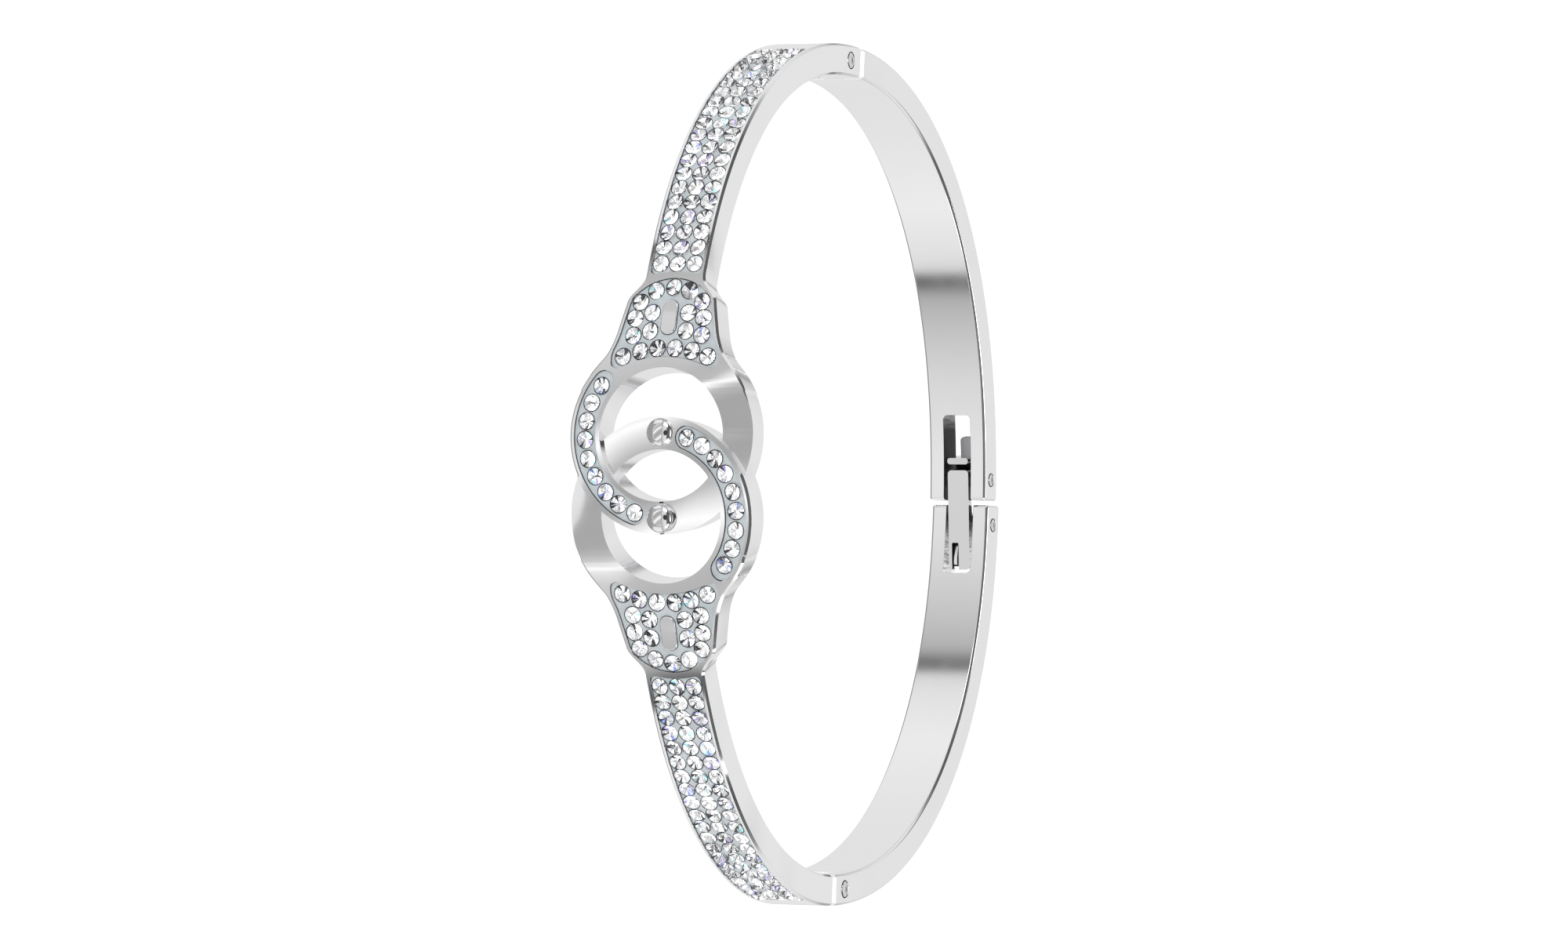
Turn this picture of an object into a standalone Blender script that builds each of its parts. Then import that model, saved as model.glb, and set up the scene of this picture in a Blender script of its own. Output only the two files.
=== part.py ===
"""Oval hinged bangle: a stone-set front with a linked-ring ornament, two rear arms and a hooked clasp.

The bangle lies with the wrist opening along Z and the ornament towards -Y. Band pieces are drawn
unrolled, as (along, depth, across): the distance along the outer line from the middle of the front,
the depth below the outer surface and the height above the band's middle. They are then laid round
the oval. Hinges and clasp are cut and placed rigidly after that, each in its own local directions.
"""

import math

import bmesh
import bpy
import numpy as np
from mathutils import Matrix, Vector

MM = 0.001

# The oval, on its outer surface
HALF_LENGTH = 31.5 * MM
FRONT_DEPTH = 25.4 * MM
REAR_DEPTH = 28.4 * MM
ARM_STEP = 0.55 * MM  # the right arm stands this much further out at the clasp
FRONT_FULLNESS = 2.06  # superellipse exponents
REAR_FULLNESS = 2.13

# The band
BAND_WIDTH = 4.64 * MM
BAND_THICKNESS = 2.27 * MM
EDGE_CHAMFER = 0.16 * MM

# The ornament: two linked rings between two lock bodies
RING_OFFSET = 2.9 * MM
RING_OUTER = 7.1 * MM
RING_WIDTH = 2.35 * MM
RING_INNER = RING_OUTER - RING_WIDTH
RING_REACH = RING_OFFSET + RING_OUTER
RING_ALONE = RING_REACH - 3.9 * MM  # up to here the outline is the ring's alone
PLAIN_DROP = 0.35 * MM  # the plain half of each ring lies this much lower
PLAIN_END = math.radians(60)
RING_LEDGE = 0.03 * MM  # the plain half starts this far from the edge of the other ring
LOCK_START = RING_REACH - 1.0 * MM
LOCK_START_HALF_WIDTH = 4.2 * MM
LOCK_END = RING_REACH + 2.4 * MM
LOCK_END_HALF_WIDTH = 3.45 * MM
LOCK_BLEND = 0.8 * MM
SHOULDER_END = RING_REACH + 4.4 * MM
KEYHOLE_ALONG = RING_REACH + 1.3 * MM
KEYHOLE_HALF_LENGTH = 1.25 * MM
KEYHOLE_HALF_WIDTH = 0.6 * MM
KEYHOLE_ROUND = 0.9  # corner radius, as a share of the half width

# Pockets, clay beds and crystals
POCKET_DEPTH = 0.55 * MM
POCKET_RIM = 0.33 * MM
POCKET_CORNER = 0.4 * MM
BED_TOP = 0.25 * MM
SET_TOP = 0.12 * MM
SET_THICKNESS = 0.1 * MM
FIT_GAP = 0.03 * MM
STONE_RADIUS = 0.6 * MM
STONE_TABLE_RADIUS = 0.36 * MM
STONE_PROUD = 0.08 * MM
STONE_SIDES = 6
STONE_MARGIN = 0.07 * MM  # clay around the outermost stones
STRIP_FIRST = SHOULDER_END + 0.95 * MM
STRIP_PITCH = 2 * STONE_RADIUS + 0.045 * MM
STRIP_COLUMN = BAND_WIDTH / 2 - POCKET_RIM - STONE_RADIUS - 0.06 * MM
PLAIN_BAND = 5.2 * MM  # from the last row to the widest point of the oval, at least
CUFF_STONES = 9
CUFF_FIRST = math.radians(-35.5)
CUFF_PITCH = math.radians(13.2)
LOCK_HOLLOW = RING_REACH - 1.6 * MM
LOCK_HOLLOW_RADIUS = 8.3 * MM
LOCK_HOLLOW_SPREAD = math.radians(25)
LOCK_CORNER = 0.5 * MM
LOCK_ARC_PITCH = math.radians(8.7)
LOCK_CROWN = RING_REACH + 3.55 * MM
LOCK_CROWN_RADIUS = 3.2 * MM
LOCK_CROWN_PITCH = math.radians(24.5)
LOCK_CROWN_SPREAD = math.radians(52)
LOCK_SIDE_FIRST = RING_REACH + 1.25 * MM
LOCK_SIDE_PITCH = 1.27 * MM
LOCK_SIDE_HALF_WIDTH = 2.68 * MM
LOCK_INNER_FIRST = RING_REACH + 1.65 * MM
LOCK_INNER_PITCH = 1.35 * MM
LOCK_INNER_HALF_WIDTH = 1.4 * MM

# Studs at the ends of the set half rings
STUD_RADIUS = 1.0 * MM
STUD_HEIGHT = 0.55 * MM
STUD_SHANK_RADIUS = 0.5 * MM
STUD_SHANK_END = 1.4 * MM
STUD_SEAT = 0.42 * MM

# Hinges
LEFT_PIN_PAST = 1.65 * MM  # from the widest point of the oval, towards the rear
RIGHT_PIN_PAST = 0.92 * MM
HINGE_REACH = 0.88 * BAND_THICKNESS  # from the pin to the middle of the joint gap
JOINT_GAP = 0.4 * MM
HINGE_PIN_RADIUS = 0.65 * MM
TONGUE_WIDTH = 1.56 * MM
TONGUE_SKIN = 0.08 * MM
TONGUE_ROOT = 0.8 * MM
TONGUE_SIDE_GAP = 0.04 * MM
TONGUE_END_GAP = 0.12 * MM
BORE_GAP = 0.03 * MM
PIN_SHORT = 0.01 * MM

# Clasp
LEFT_END_PAST = 2.12 * MM  # the left arm ends this far past the middle of the rear
CLASP_GAP = 0.39 * MM
CATCH_PIN_BACK = 1.6 * MM
PIVOT_PIN_BACK = 1.55 * MM
CLASP_PIN_RADIUS = 0.53 * MM
SLOT_WIDTH = 2.2 * MM
LEFT_SLOT_LENGTH = 6.8 * MM
RIGHT_SLOT_LENGTH = 5.55 * MM
SLOT_CORNER = 0.35 * MM
LINK_WIDTH = 1.7 * MM
LINK_SHEET = 0.38 * MM
LINK_BOSS_RADIUS = 0.95 * MM
LINK_TAIL = 3.25 * MM
LINK_TAIL_LEVEL = 1.45 * MM
LINK_HOOK_WALL = 0.3 * MM
LINK_FOLD = 0.46 * MM
LINK_BAR = 0.48 * MM
LINK_TAB = 1.45 * MM
LINK_TAB_LEVEL = 1.0 * MM
NOTCH_WIDTH = 0.5 * MM
NOTCH_SIDE = 0.16 * MM  # the notch's middle, off the middle of the link
NOTCH_START = 1.2 * MM
NOTCH_END = 3.0 * MM
SPRING_THICKNESS = 0.12 * MM
SPRING_RISE = 0.5 * MM
SPRING_INSET = 0.1 * MM
SPRING_GAP = 0.2 * MM

# Fineness
SLICE = 2.4 * MM
ARC_STEP = math.radians(10)
ROUND_SIDES = 16
CUT_PAST = 1.0 * MM

STEEL = ("polished_steel", (0.80, 0.80, 0.81), 1.0, 0.12)
PIN_STEEL = ("pin_steel", (0.72, 0.72, 0.73), 1.0, 0.2)
SPRING_STEEL = ("spring_steel", (0.60, 0.60, 0.62), 1.0, 0.25)
CLAY = ("setting_clay", (0.80, 0.85, 0.87), 0.0, 0.45)
CRYSTAL = ("crystal", (0.93, 0.95, 0.97), 0.0, 0.05)


class Oval:
    """The outer line of the bangle, walked by its length from the middle of the front towards +X."""

    def __init__(self, rear_depth):
        turn = np.linspace(-np.pi, np.pi, 14401)
        front = np.cos(turn) > 0
        power = 2 / np.where(front, FRONT_FULLNESS, REAR_FULLNESS)
        deep = np.where(front, FRONT_DEPTH, rear_depth)
        self.x = HALF_LENGTH * np.sign(np.sin(turn)) * np.abs(np.sin(turn)) ** power
        self.y = -deep * np.sign(np.cos(turn)) * np.abs(np.cos(turn)) ** power
        steps = np.hypot(np.diff(self.x), np.diff(self.y))
        length = np.concatenate([[0], np.cumsum(steps)])
        self.length = length - np.interp(0, turn, length)
        self.half = self.length[-1]
        self.widest = np.interp(np.pi / 2, turn, self.length)

    def at(self, along):
        along = (np.asarray(along) + self.half) % (2 * self.half) - self.half
        x = np.interp(along, self.length, self.x)
        y = np.interp(along, self.length, self.y)
        return np.stack([x, y], -1)

    def heading(self, along):
        """Unit direction of increasing length."""
        reach = 0.05 * MM
        step = self.at(np.asarray(along) + reach) - self.at(np.asarray(along) - reach)
        return step / np.linalg.norm(step, axis=-1, keepdims=True)

    def place(self, along, depth):
        heading = self.heading(along)
        inward = np.stack([-heading[..., 1], heading[..., 0]], -1)
        return self.at(along) + inward * np.asarray(depth)[..., None]


left_oval = Oval(REAR_DEPTH)
right_oval = Oval(REAR_DEPTH + ARM_STEP)

# Where the band pieces begin and end, along their oval
CHEEK_END = HINGE_REACH - JOINT_GAP / 2
SHOULDER = HINGE_REACH + JOINT_GAP / 2
LEFT_PIN = -(left_oval.widest + LEFT_PIN_PAST)
RIGHT_PIN = right_oval.widest + RIGHT_PIN_PAST
FRONT_LEFT_END = LEFT_PIN - CHEEK_END
FRONT_RIGHT_END = RIGHT_PIN - SHOULDER
LEFT_ARM_HINGE_END = LEFT_PIN - SHOULDER
LEFT_ARM_CLASP_END = -left_oval.half - LEFT_END_PAST
RIGHT_ARM_HINGE_END = RIGHT_PIN - CHEEK_END
RIGHT_ARM_CLASP_END = right_oval.half - LEFT_END_PAST - CLASP_GAP
STUD_ALONG = (RING_INNER + RING_OUTER) / 2 - RING_OFFSET
STRIP_ROWS = int((left_oval.widest - PLAIN_BAND - STRIP_FIRST) / STRIP_PITCH) + 1
STRIP_START = STRIP_FIRST - STONE_RADIUS - STONE_MARGIN
STRIP_END = STRIP_FIRST + (STRIP_ROWS - 1) * STRIP_PITCH + STONE_RADIUS + STONE_MARGIN

# The object stands centred on its box, on the lower edge of the rings
front_reach = float(left_oval.place(STUD_ALONG, -STUD_HEIGHT)[1])
rear_reach = float(right_oval.place(RIGHT_ARM_CLASP_END, 0)[1])
CENTRE_Y = -(front_reach + rear_reach) / 2
MIDDLE_Z = RING_OUTER


def world(flat_xy, z):
    return Vector((float(flat_xy[0]), float(flat_xy[1]) + CENTRE_Y, z + MIDDLE_Z))


def material(name, colour, metallic, roughness):
    found = bpy.data.materials.get(name)
    if found:
        return found
    made = bpy.data.materials.new(name)
    made.use_nodes = True
    shader = made.node_tree.nodes["Principled BSDF"]
    shader.inputs["Base Color"].default_value = (*colour, 1)
    shader.inputs["Metallic"].default_value = metallic
    shader.inputs["Roughness"].default_value = roughness
    return made


def solid(name, mesh, finish=None):
    """An object from a bmesh; with no finish it is a cutter, which isn't rendered."""
    bmesh.ops.recalc_face_normals(mesh, faces=mesh.faces)
    if mesh.calc_volume(signed=True) < 0:
        bmesh.ops.reverse_faces(mesh, faces=mesh.faces)
    data = bpy.data.meshes.new(name)
    mesh.to_mesh(data)
    mesh.free()
    made = bpy.data.objects.new(name, data)
    bpy.context.scene.collection.objects.link(made)
    if finish is None:
        made.hide_render = True
        made.display_type = "WIRE"
        return made
    data.materials.append(material(*finish))
    data.shade_smooth()
    data.set_sharp_from_angle(angle=math.radians(30))
    return made


def join(target, other):
    """Adds a solid to a piece, before anything is cut from it."""
    modifier = target.modifiers.new(other.name, "BOOLEAN")
    modifier.operation = "UNION"
    modifier.use_self = True  # stones larger than their pitch run into each other
    modifier.object = other
    target.modifiers.move(len(target.modifiers) - 1, 0)


def cut(target, cutter):
    """Takes a cutter from a piece, together with the piece's other cutters."""
    name = target.name + "_cutters"
    group = bpy.data.collections.get(name)
    if group is None:
        group = bpy.data.collections.new(name)
        modifier = target.modifiers.new(name, "BOOLEAN")
        modifier.operation = "DIFFERENCE"
        modifier.operand_type = "COLLECTION"
        modifier.collection = group
    group.objects.link(cutter)


def arc(centre, radius, start, end):
    """Points on a circle in (along, across), from one angle to another; angle 0 points along."""
    count = max(2, math.ceil(abs(end - start) / ARC_STEP) + 1)
    turns = [start + (end - start) * k / (count - 1) for k in range(count)]
    return [(centre[0] + radius * math.cos(t), centre[1] + radius * math.sin(t)) for t in turns]


def rounded_box(low, high, half_width, corner):
    """Outline of a box from low to high along the band, with rounded corners."""
    quarter = math.pi / 2
    points = []
    for along, across, start in (
        (high - corner, half_width - corner, 0),
        (low + corner, half_width - corner, quarter),
        (low + corner, corner - half_width, 2 * quarter),
        (high - corner, corner - half_width, 3 * quarter),
    ):
        points += arc((along, across), corner, start, start + quarter)
    return points


def plate(outline, outer, inner, chamfer=0.0):
    """Flat bmesh plate with this outline, from one depth to another, its perimeter chamfered."""
    mesh = bmesh.new()
    mesh.faces.new([mesh.verts.new((along, outer, across)) for along, across in outline])
    pushed = bmesh.ops.extrude_face_region(mesh, geom=mesh.faces[:])
    moved = [item for item in pushed["geom"] if isinstance(item, bmesh.types.BMVert)]
    bmesh.ops.translate(mesh, verts=moved, vec=(0, inner - outer, 0))
    bmesh.ops.recalc_face_normals(mesh, faces=mesh.faces)
    if chamfer:
        rims = [e for e in mesh.edges if abs(e.verts[0].co.y - e.verts[1].co.y) < MM / 1000]
        bmesh.ops.bevel(
            mesh, geom=rims, offset=chamfer, segments=1, profile=0.5, affect="EDGES", material=-1
        )
    return mesh


def slice_across(mesh):
    """Cuts the flat mesh at even distances, so that it can bend."""
    ends = [vertex.co.x for vertex in mesh.verts]
    for k in range(math.ceil(min(ends) / SLICE), math.floor(max(ends) / SLICE) + 1):
        geometry = mesh.verts[:] + mesh.edges[:] + mesh.faces[:]
        bmesh.ops.bisect_plane(
            mesh, geom=geometry, dist=MM / 1e5, plane_co=(k * SLICE, 0, 0), plane_no=(1, 0, 0)
        )


def lay(mesh, oval=left_oval):
    """Lays a flat mesh round the oval."""
    flat = np.array([vertex.co for vertex in mesh.verts])
    laid = oval.place(flat[:, 0], flat[:, 1])
    for vertex, spot, across in zip(mesh.verts, laid, flat[:, 2]):
        vertex.co = world(spot, across)
    bmesh.ops.triangulate(mesh, faces=mesh.faces)  # a bent face isn't flat


def band_piece(name, outline, outer, inner, oval=left_oval, finish=None, chamfer=0.0):
    mesh = plate(outline, outer, inner, chamfer)
    slice_across(mesh)
    lay(mesh, oval)
    return solid(name, mesh, finish)


class Local:
    """Rigid directions at a pin: forward along the given way, outward off the wrist, and up."""

    def __init__(self, pin, forward):
        self.pin = pin
        forward = np.asarray(forward) / np.linalg.norm(forward)
        self.forward = Vector((forward[0], forward[1], 0))
        outward = self.forward.cross(Vector((0, 0, 1)))
        away = self.pin - Vector((0, CENTRE_Y, MIDDLE_Z))
        self.outward = outward if outward.dot(away) > 0 else -outward

    def prism(self, name, outline, low, high, finish=None):
        """A solid with this outline in (forward, outward), between two heights."""
        mesh = bmesh.new()
        corners = [self.pin + self.forward * u + self.outward * v for u, v in outline]
        mesh.faces.new([mesh.verts.new(corner + Vector((0, 0, low))) for corner in corners])
        pushed = bmesh.ops.extrude_face_region(mesh, geom=mesh.faces[:])
        moved = [item for item in pushed["geom"] if isinstance(item, bmesh.types.BMVert)]
        bmesh.ops.translate(mesh, verts=moved, vec=(0, 0, high - low))
        return solid(name, mesh, finish)

    def rod(self, name, radius, length, finish=None):
        """A round rod on the pin's axis, with its origin there."""
        mesh = bmesh.new()
        bmesh.ops.create_cone(
            mesh, cap_ends=True, segments=ROUND_SIDES, radius1=radius, radius2=radius, depth=length
        )
        made = solid(name, mesh, finish)
        made.location = self.pin
        return made


def ring_half_width(along):
    return math.sqrt(max(RING_OUTER**2 - (abs(along) - RING_OFFSET) ** 2, 0))


def half_width(along):
    """Half the width of the front at a distance from its middle."""
    along = abs(along)
    if along >= SHOULDER_END:
        return BAND_WIDTH / 2
    ring = ring_half_width(along)
    if along < RING_ALONE:
        return ring
    taper = min(max((along - LOCK_START) / (LOCK_END - LOCK_START), 0), 1)
    lock = LOCK_START_HALF_WIDTH + (LOCK_END_HALF_WIDTH - LOCK_START_HALF_WIDTH) * taper
    body = (ring + lock + math.hypot(ring - lock, LOCK_BLEND)) / 2
    fall = min(max((along - LOCK_END) / (SHOULDER_END - LOCK_END), 0), 1)
    fall = fall * fall * (3 - 2 * fall)
    return body + (BAND_WIDTH / 2 - body) * fall


def front_outline():
    """The whole front: band, shoulders, lock bodies and rings."""
    turns = np.arange(ARC_STEP, math.pi - ARC_STEP, ARC_STEP)
    ring = [RING_OFFSET + RING_OUTER * math.cos(t) for t in turns]
    ring = [x for x in ring if 0 < x < RING_OUTER]
    steps = np.linspace(RING_OUTER, SHOULDER_END, 15)
    right = sorted(ring + list(steps))
    places = [-x for x in reversed(right)] + [0] + right
    upper = [(x, half_width(x)) for x in [FRONT_LEFT_END] + places + [FRONT_RIGHT_END]]
    return upper + [(x, -w) for x, w in reversed(upper)]


def crossing(radius_here, radius_there):
    """Where a circle on this ring's centre meets one on the other ring's: (along, across)."""
    along = (radius_there**2 - radius_here**2) / (4 * RING_OFFSET)
    return along, math.sqrt(radius_here**2 - (along - RING_OFFSET) ** 2)


def angle_at(point, centre_along):
    return math.atan2(point[1], point[0] - centre_along)


def turned(outline, side):
    """The outline as it is on the right, or turned half round the middle for the left."""
    return [(side * along, side * across) for along, across in outline]


def outer_opening():
    """The D between the right ring's inner edge and the left ring's outer edge."""
    corner = crossing(RING_INNER, RING_OUTER)
    here = angle_at(corner, RING_OFFSET)
    there = angle_at(corner, -RING_OFFSET)
    ring = arc((RING_OFFSET, 0), RING_INNER, -here, here)
    return ring + arc((-RING_OFFSET, 0), RING_OUTER, there, -there)[1:-1]


def lens_opening():
    """The lens inside both rings."""
    corner = crossing(RING_INNER, RING_INNER)
    here = angle_at(corner, -RING_OFFSET)
    right = arc((-RING_OFFSET, 0), RING_INNER, -here, here)
    left = arc((RING_OFFSET, 0), RING_INNER, math.pi - here, math.pi + here)
    return right + left[1:-1]


def plain_outer():
    """The right ring's plain half outside the left ring, towards -Z; it runs on into the air."""
    inner = RING_INNER - CUT_PAST / 2
    outer = RING_OUTER + CUT_PAST / 2
    edge = RING_OUTER + RING_LEDGE
    near = crossing(inner, edge)
    far = crossing(outer, edge)
    start = -angle_at(far, RING_OFFSET)
    points = arc((RING_OFFSET, 0), outer, start, -PLAIN_END)
    points += arc((RING_OFFSET, 0), inner, -PLAIN_END, -angle_at(near, RING_OFFSET))
    there = (-angle_at(near, -RING_OFFSET), -angle_at(far, -RING_OFFSET))
    return points + arc((-RING_OFFSET, 0), edge, *there)[1:-1]


def plain_inner():
    """The right ring's plain half inside the left ring, from that ring to the stud."""
    inner = RING_INNER - CUT_PAST / 2
    outer = RING_OUTER + CUT_PAST / 2
    edge = RING_INNER - RING_LEDGE
    near = crossing(inner, edge)
    far = crossing(outer, edge)
    points = arc((RING_OFFSET, 0), outer, -math.pi, -angle_at(far, RING_OFFSET))
    there = (-angle_at(far, -RING_OFFSET), -angle_at(near, -RING_OFFSET))
    points += arc((-RING_OFFSET, 0), edge, *there)[1:-1]
    return points + arc((RING_OFFSET, 0), inner, -angle_at(near, RING_OFFSET), -math.pi)


def strip_outline(inset):
    half = BAND_WIDTH / 2 - POCKET_RIM - inset
    return rounded_box(STRIP_START + inset, STRIP_END - inset, half, POCKET_CORNER)


def cuff_outline(inset):
    """The channel in the right ring, towards +Z, from the lock body to the stud."""
    middle = (RING_INNER + RING_OUTER) / 2
    half = middle - RING_INNER - POCKET_RIM - inset
    first = math.pi / 2 + CUFF_FIRST
    last = first + (CUFF_STONES - 1) * CUFF_PITCH
    start = first - CUFF_PITCH / 4
    points = arc((RING_OFFSET, 0), middle + half, start, last)
    for angle, begin in ((last, last), (start, start + math.pi)):
        spot = (RING_OFFSET + middle * math.cos(angle), middle * math.sin(angle))
        points += arc(spot, half, begin, begin + math.pi)[1:-1]
        if angle == last:
            points += arc((RING_OFFSET, 0), middle - half, last, start)
    return points


def lock_outline(inset):
    """The field of the right lock body: arched towards the band, hollow towards the ring."""
    spread = LOCK_HOLLOW_SPREAD
    centre = LOCK_HOLLOW - LOCK_HOLLOW_RADIUS
    hollow = arc((centre, 0), LOCK_HOLLOW_RADIUS + inset, spread, -spread)
    reach = LOCK_HOLLOW_RADIUS + LOCK_CORNER
    corner = (centre + reach * math.cos(spread), reach * math.sin(spread))
    half_turn = math.pi
    upper = arc(corner, LOCK_CORNER - inset, half_turn / 2, half_turn + spread)[:-1]
    widest = upper[0][1]
    spread = LOCK_CROWN_SPREAD
    radius = LOCK_CROWN_RADIUS + STONE_RADIUS + STONE_MARGIN - inset
    crown = arc((LOCK_CROWN - LOCK_CROWN_RADIUS, 0), radius, -spread, spread)
    sides = np.linspace(crown[-1][0], upper[0][0], 7)[1:-1]
    side = [(x, min(half_width(x) - POCKET_RIM - inset, widest)) for x in sides]
    upper = side + upper
    lower = [(x, -z) for x, z in reversed(upper)]
    return hollow + lower + crown + upper


def keyhole_outline(grow):
    long = KEYHOLE_HALF_LENGTH + grow
    wide = KEYHOLE_HALF_WIDTH + grow
    return rounded_box(KEYHOLE_ALONG - long, KEYHOLE_ALONG + long, wide, wide * KEYHOLE_ROUND)


def strip_stones():
    return [
        (STRIP_FIRST + row * STRIP_PITCH, column * STRIP_COLUMN)
        for row in range(STRIP_ROWS)
        for column in (-1, 0, 1)
    ]


def cuff_stones():
    middle = (RING_INNER + RING_OUTER) / 2
    turns = [math.pi / 2 + CUFF_FIRST + k * CUFF_PITCH for k in range(CUFF_STONES)]
    return [(RING_OFFSET + middle * math.cos(t), middle * math.sin(t)) for t in turns]


def lock_stones():
    centre = LOCK_HOLLOW - LOCK_HOLLOW_RADIUS
    reach = LOCK_HOLLOW_RADIUS + STONE_RADIUS + STONE_MARGIN
    turns = [(k - 2.5) * LOCK_ARC_PITCH for k in range(6)]
    places = [(centre + reach * math.cos(t), reach * math.sin(t)) for t in turns]
    crown = LOCK_CROWN - LOCK_CROWN_RADIUS
    for k in range(-2, 3):
        turn = k * LOCK_CROWN_PITCH
        places.append(
            (crown + LOCK_CROWN_RADIUS * math.cos(turn), LOCK_CROWN_RADIUS * math.sin(turn))
        )
    for side in (-1, 1):
        for k in (0, 1):
            places.append((LOCK_SIDE_FIRST - k * LOCK_SIDE_PITCH, side * LOCK_SIDE_HALF_WIDTH))
            places.append((LOCK_INNER_FIRST - k * LOCK_INNER_PITCH, side * LOCK_INNER_HALF_WIDTH))
    return places


def stone_group(name, places):
    """One low cone for each stone, its table proud of the rims."""
    mesh = bmesh.new()
    foot = SET_TOP + SET_THICKNESS / 2
    for along, across in places:
        cone = bmesh.ops.create_cone(
            mesh,
            cap_ends=True,
            segments=STONE_SIDES,
            radius1=STONE_RADIUS,
            radius2=STONE_TABLE_RADIUS,
            depth=foot + STONE_PROUD,
        )
        turn = Matrix.Rotation(math.pi / 2, 4, "X")
        spot = Matrix.Translation((along, (foot - STONE_PROUD) / 2, across))
        bmesh.ops.transform(mesh, matrix=spot @ turn, verts=cone["verts"])
    lay(mesh)
    return solid(name, mesh)


def set_field(name, side, outline, stones, frame, island=None):
    """A pocket in the frame, its clay bed, and its crystals joined by their thin setting layer."""
    pocket = band_piece(name + "_pocket", turned(outline(0), side), -CUT_PAST, POCKET_DEPTH)
    cut(frame, pocket)
    bed = band_piece(
        name + "_clay", turned(outline(FIT_GAP), side), BED_TOP, POCKET_DEPTH - FIT_GAP, finish=CLAY
    )
    crystals = band_piece(
        name + "_crystals",
        turned(outline(2 * FIT_GAP), side),
        SET_TOP,
        SET_TOP + SET_THICKNESS,
        finish=CRYSTAL,
    )
    if island:
        cut(pocket, band_piece(name + "_keyhole", turned(island(0), side), -2 * CUT_PAST, 2 * CUT_PAST))
        around = turned(island(FIT_GAP), side)
        hole = band_piece(name + "_keyhole_room", around, -CUT_PAST, BAND_THICKNESS)
        cut(bed, hole)
        cut(crystals, hole)
    join(crystals, stone_group(name + "_stones", turned(stones(), side)))


def stud(name, side, frame):
    """A domed rivet with a collar, in a stepped hole."""
    collar = arc((side * STUD_ALONG, 0), STUD_RADIUS + FIT_GAP, 0, 2 * math.pi)[:-1]
    shank = arc((side * STUD_ALONG, 0), STUD_SHANK_RADIUS + FIT_GAP, 0, 2 * math.pi)[:-1]
    cut(frame, band_piece(name + "_seat", collar, -CUT_PAST, STUD_SEAT))
    cut(frame, band_piece(name + "_hole", shank, -CUT_PAST, STUD_SHANK_END + FIT_GAP))
    profile = [(0, STUD_SHANK_END), (STUD_SHANK_RADIUS, STUD_SHANK_END)]
    profile += [(STUD_SHANK_RADIUS, STUD_SEAT - FIT_GAP), (STUD_RADIUS, STUD_SEAT - FIT_GAP)]
    for k in range(6):
        turn = k * math.pi / 12
        profile.append((STUD_RADIUS * math.cos(turn), -STUD_HEIGHT * math.sin(turn)))
    profile.append((0, -STUD_HEIGHT))
    mesh = bmesh.new()
    rim = [mesh.verts.new((radius, depth, 0)) for radius, depth in profile]
    edges = [mesh.edges.new(pair) for pair in zip(rim, rim[1:])]
    bmesh.ops.spin(
        mesh,
        geom=rim + edges,
        cent=(0, 0, 0),
        axis=(0, 1, 0),
        angle=2 * math.pi,
        steps=ROUND_SIDES,
        use_merge=True,
    )
    bmesh.ops.remove_doubles(mesh, verts=mesh.verts, dist=MM / 1000)
    bmesh.ops.translate(mesh, verts=mesh.verts, vec=(side * STUD_ALONG, 0, 0))
    lay(mesh)
    return solid(name, mesh, STEEL)


def hinge(name, oval, pin_along, fork, tongue):
    """Fork, tongue and pin: the tongue's root is on the side of smaller length along the oval."""
    centre = oval.place(pin_along, BAND_THICKNESS / 2)
    root = oval.place(pin_along - SHOULDER - TONGUE_ROOT, BAND_THICKNESS / 2)
    local = Local(world(centre, 0), root - centre)
    radius = BAND_THICKNESS / 2 - TONGUE_SKIN
    reach = SHOULDER + TONGUE_ROOT
    quarter = math.pi / 2
    shape = arc((0, 0), radius, quarter, 3 * quarter) + [(reach, -radius), (reach, radius)]
    half = TONGUE_WIDTH / 2
    join(tongue, local.prism(name + "_tongue", shape, -half, half))
    floor = -(radius + TONGUE_END_GAP)
    ahead = CHEEK_END + CUT_PAST
    deep = BAND_THICKNESS
    slot = [(floor, -deep), (ahead, -deep), (ahead, deep), (floor, deep)]
    room = half + TONGUE_SIDE_GAP
    cut(fork, local.prism(name + "_slot", slot, -room, room))
    bore = local.rod(name + "_bore", HINGE_PIN_RADIUS + BORE_GAP, 2 * BAND_WIDTH)
    cut(fork, bore)
    cut(tongue, bore)
    return local.rod(name + "_pin", HINGE_PIN_RADIUS, BAND_WIDTH - 2 * PIN_SHORT, PIN_STEEL)


def rear_arm(name, oval, hinge_end, clasp_end, slot_length):
    """One rear arm, with the clasp slot open at its end."""
    low, high = min(hinge_end, clasp_end), max(hinge_end, clasp_end)
    half = BAND_WIDTH / 2
    outline = [(low, -half), (high, -half), (high, half), (low, half)]
    arm = band_piece(
        name, outline, 0, BAND_THICKNESS, oval, finish=STEEL, chamfer=EDGE_CHAMFER
    )
    inward = 1 if hinge_end > clasp_end else -1
    ends = sorted((clasp_end - inward * CUT_PAST, clasp_end + inward * slot_length))
    slot = rounded_box(*ends, SLOT_WIDTH / 2, SLOT_CORNER)
    cut(arm, band_piece(name + "_slot", slot, -CUT_PAST, BAND_THICKNESS + CUT_PAST, oval))
    return arm


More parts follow.
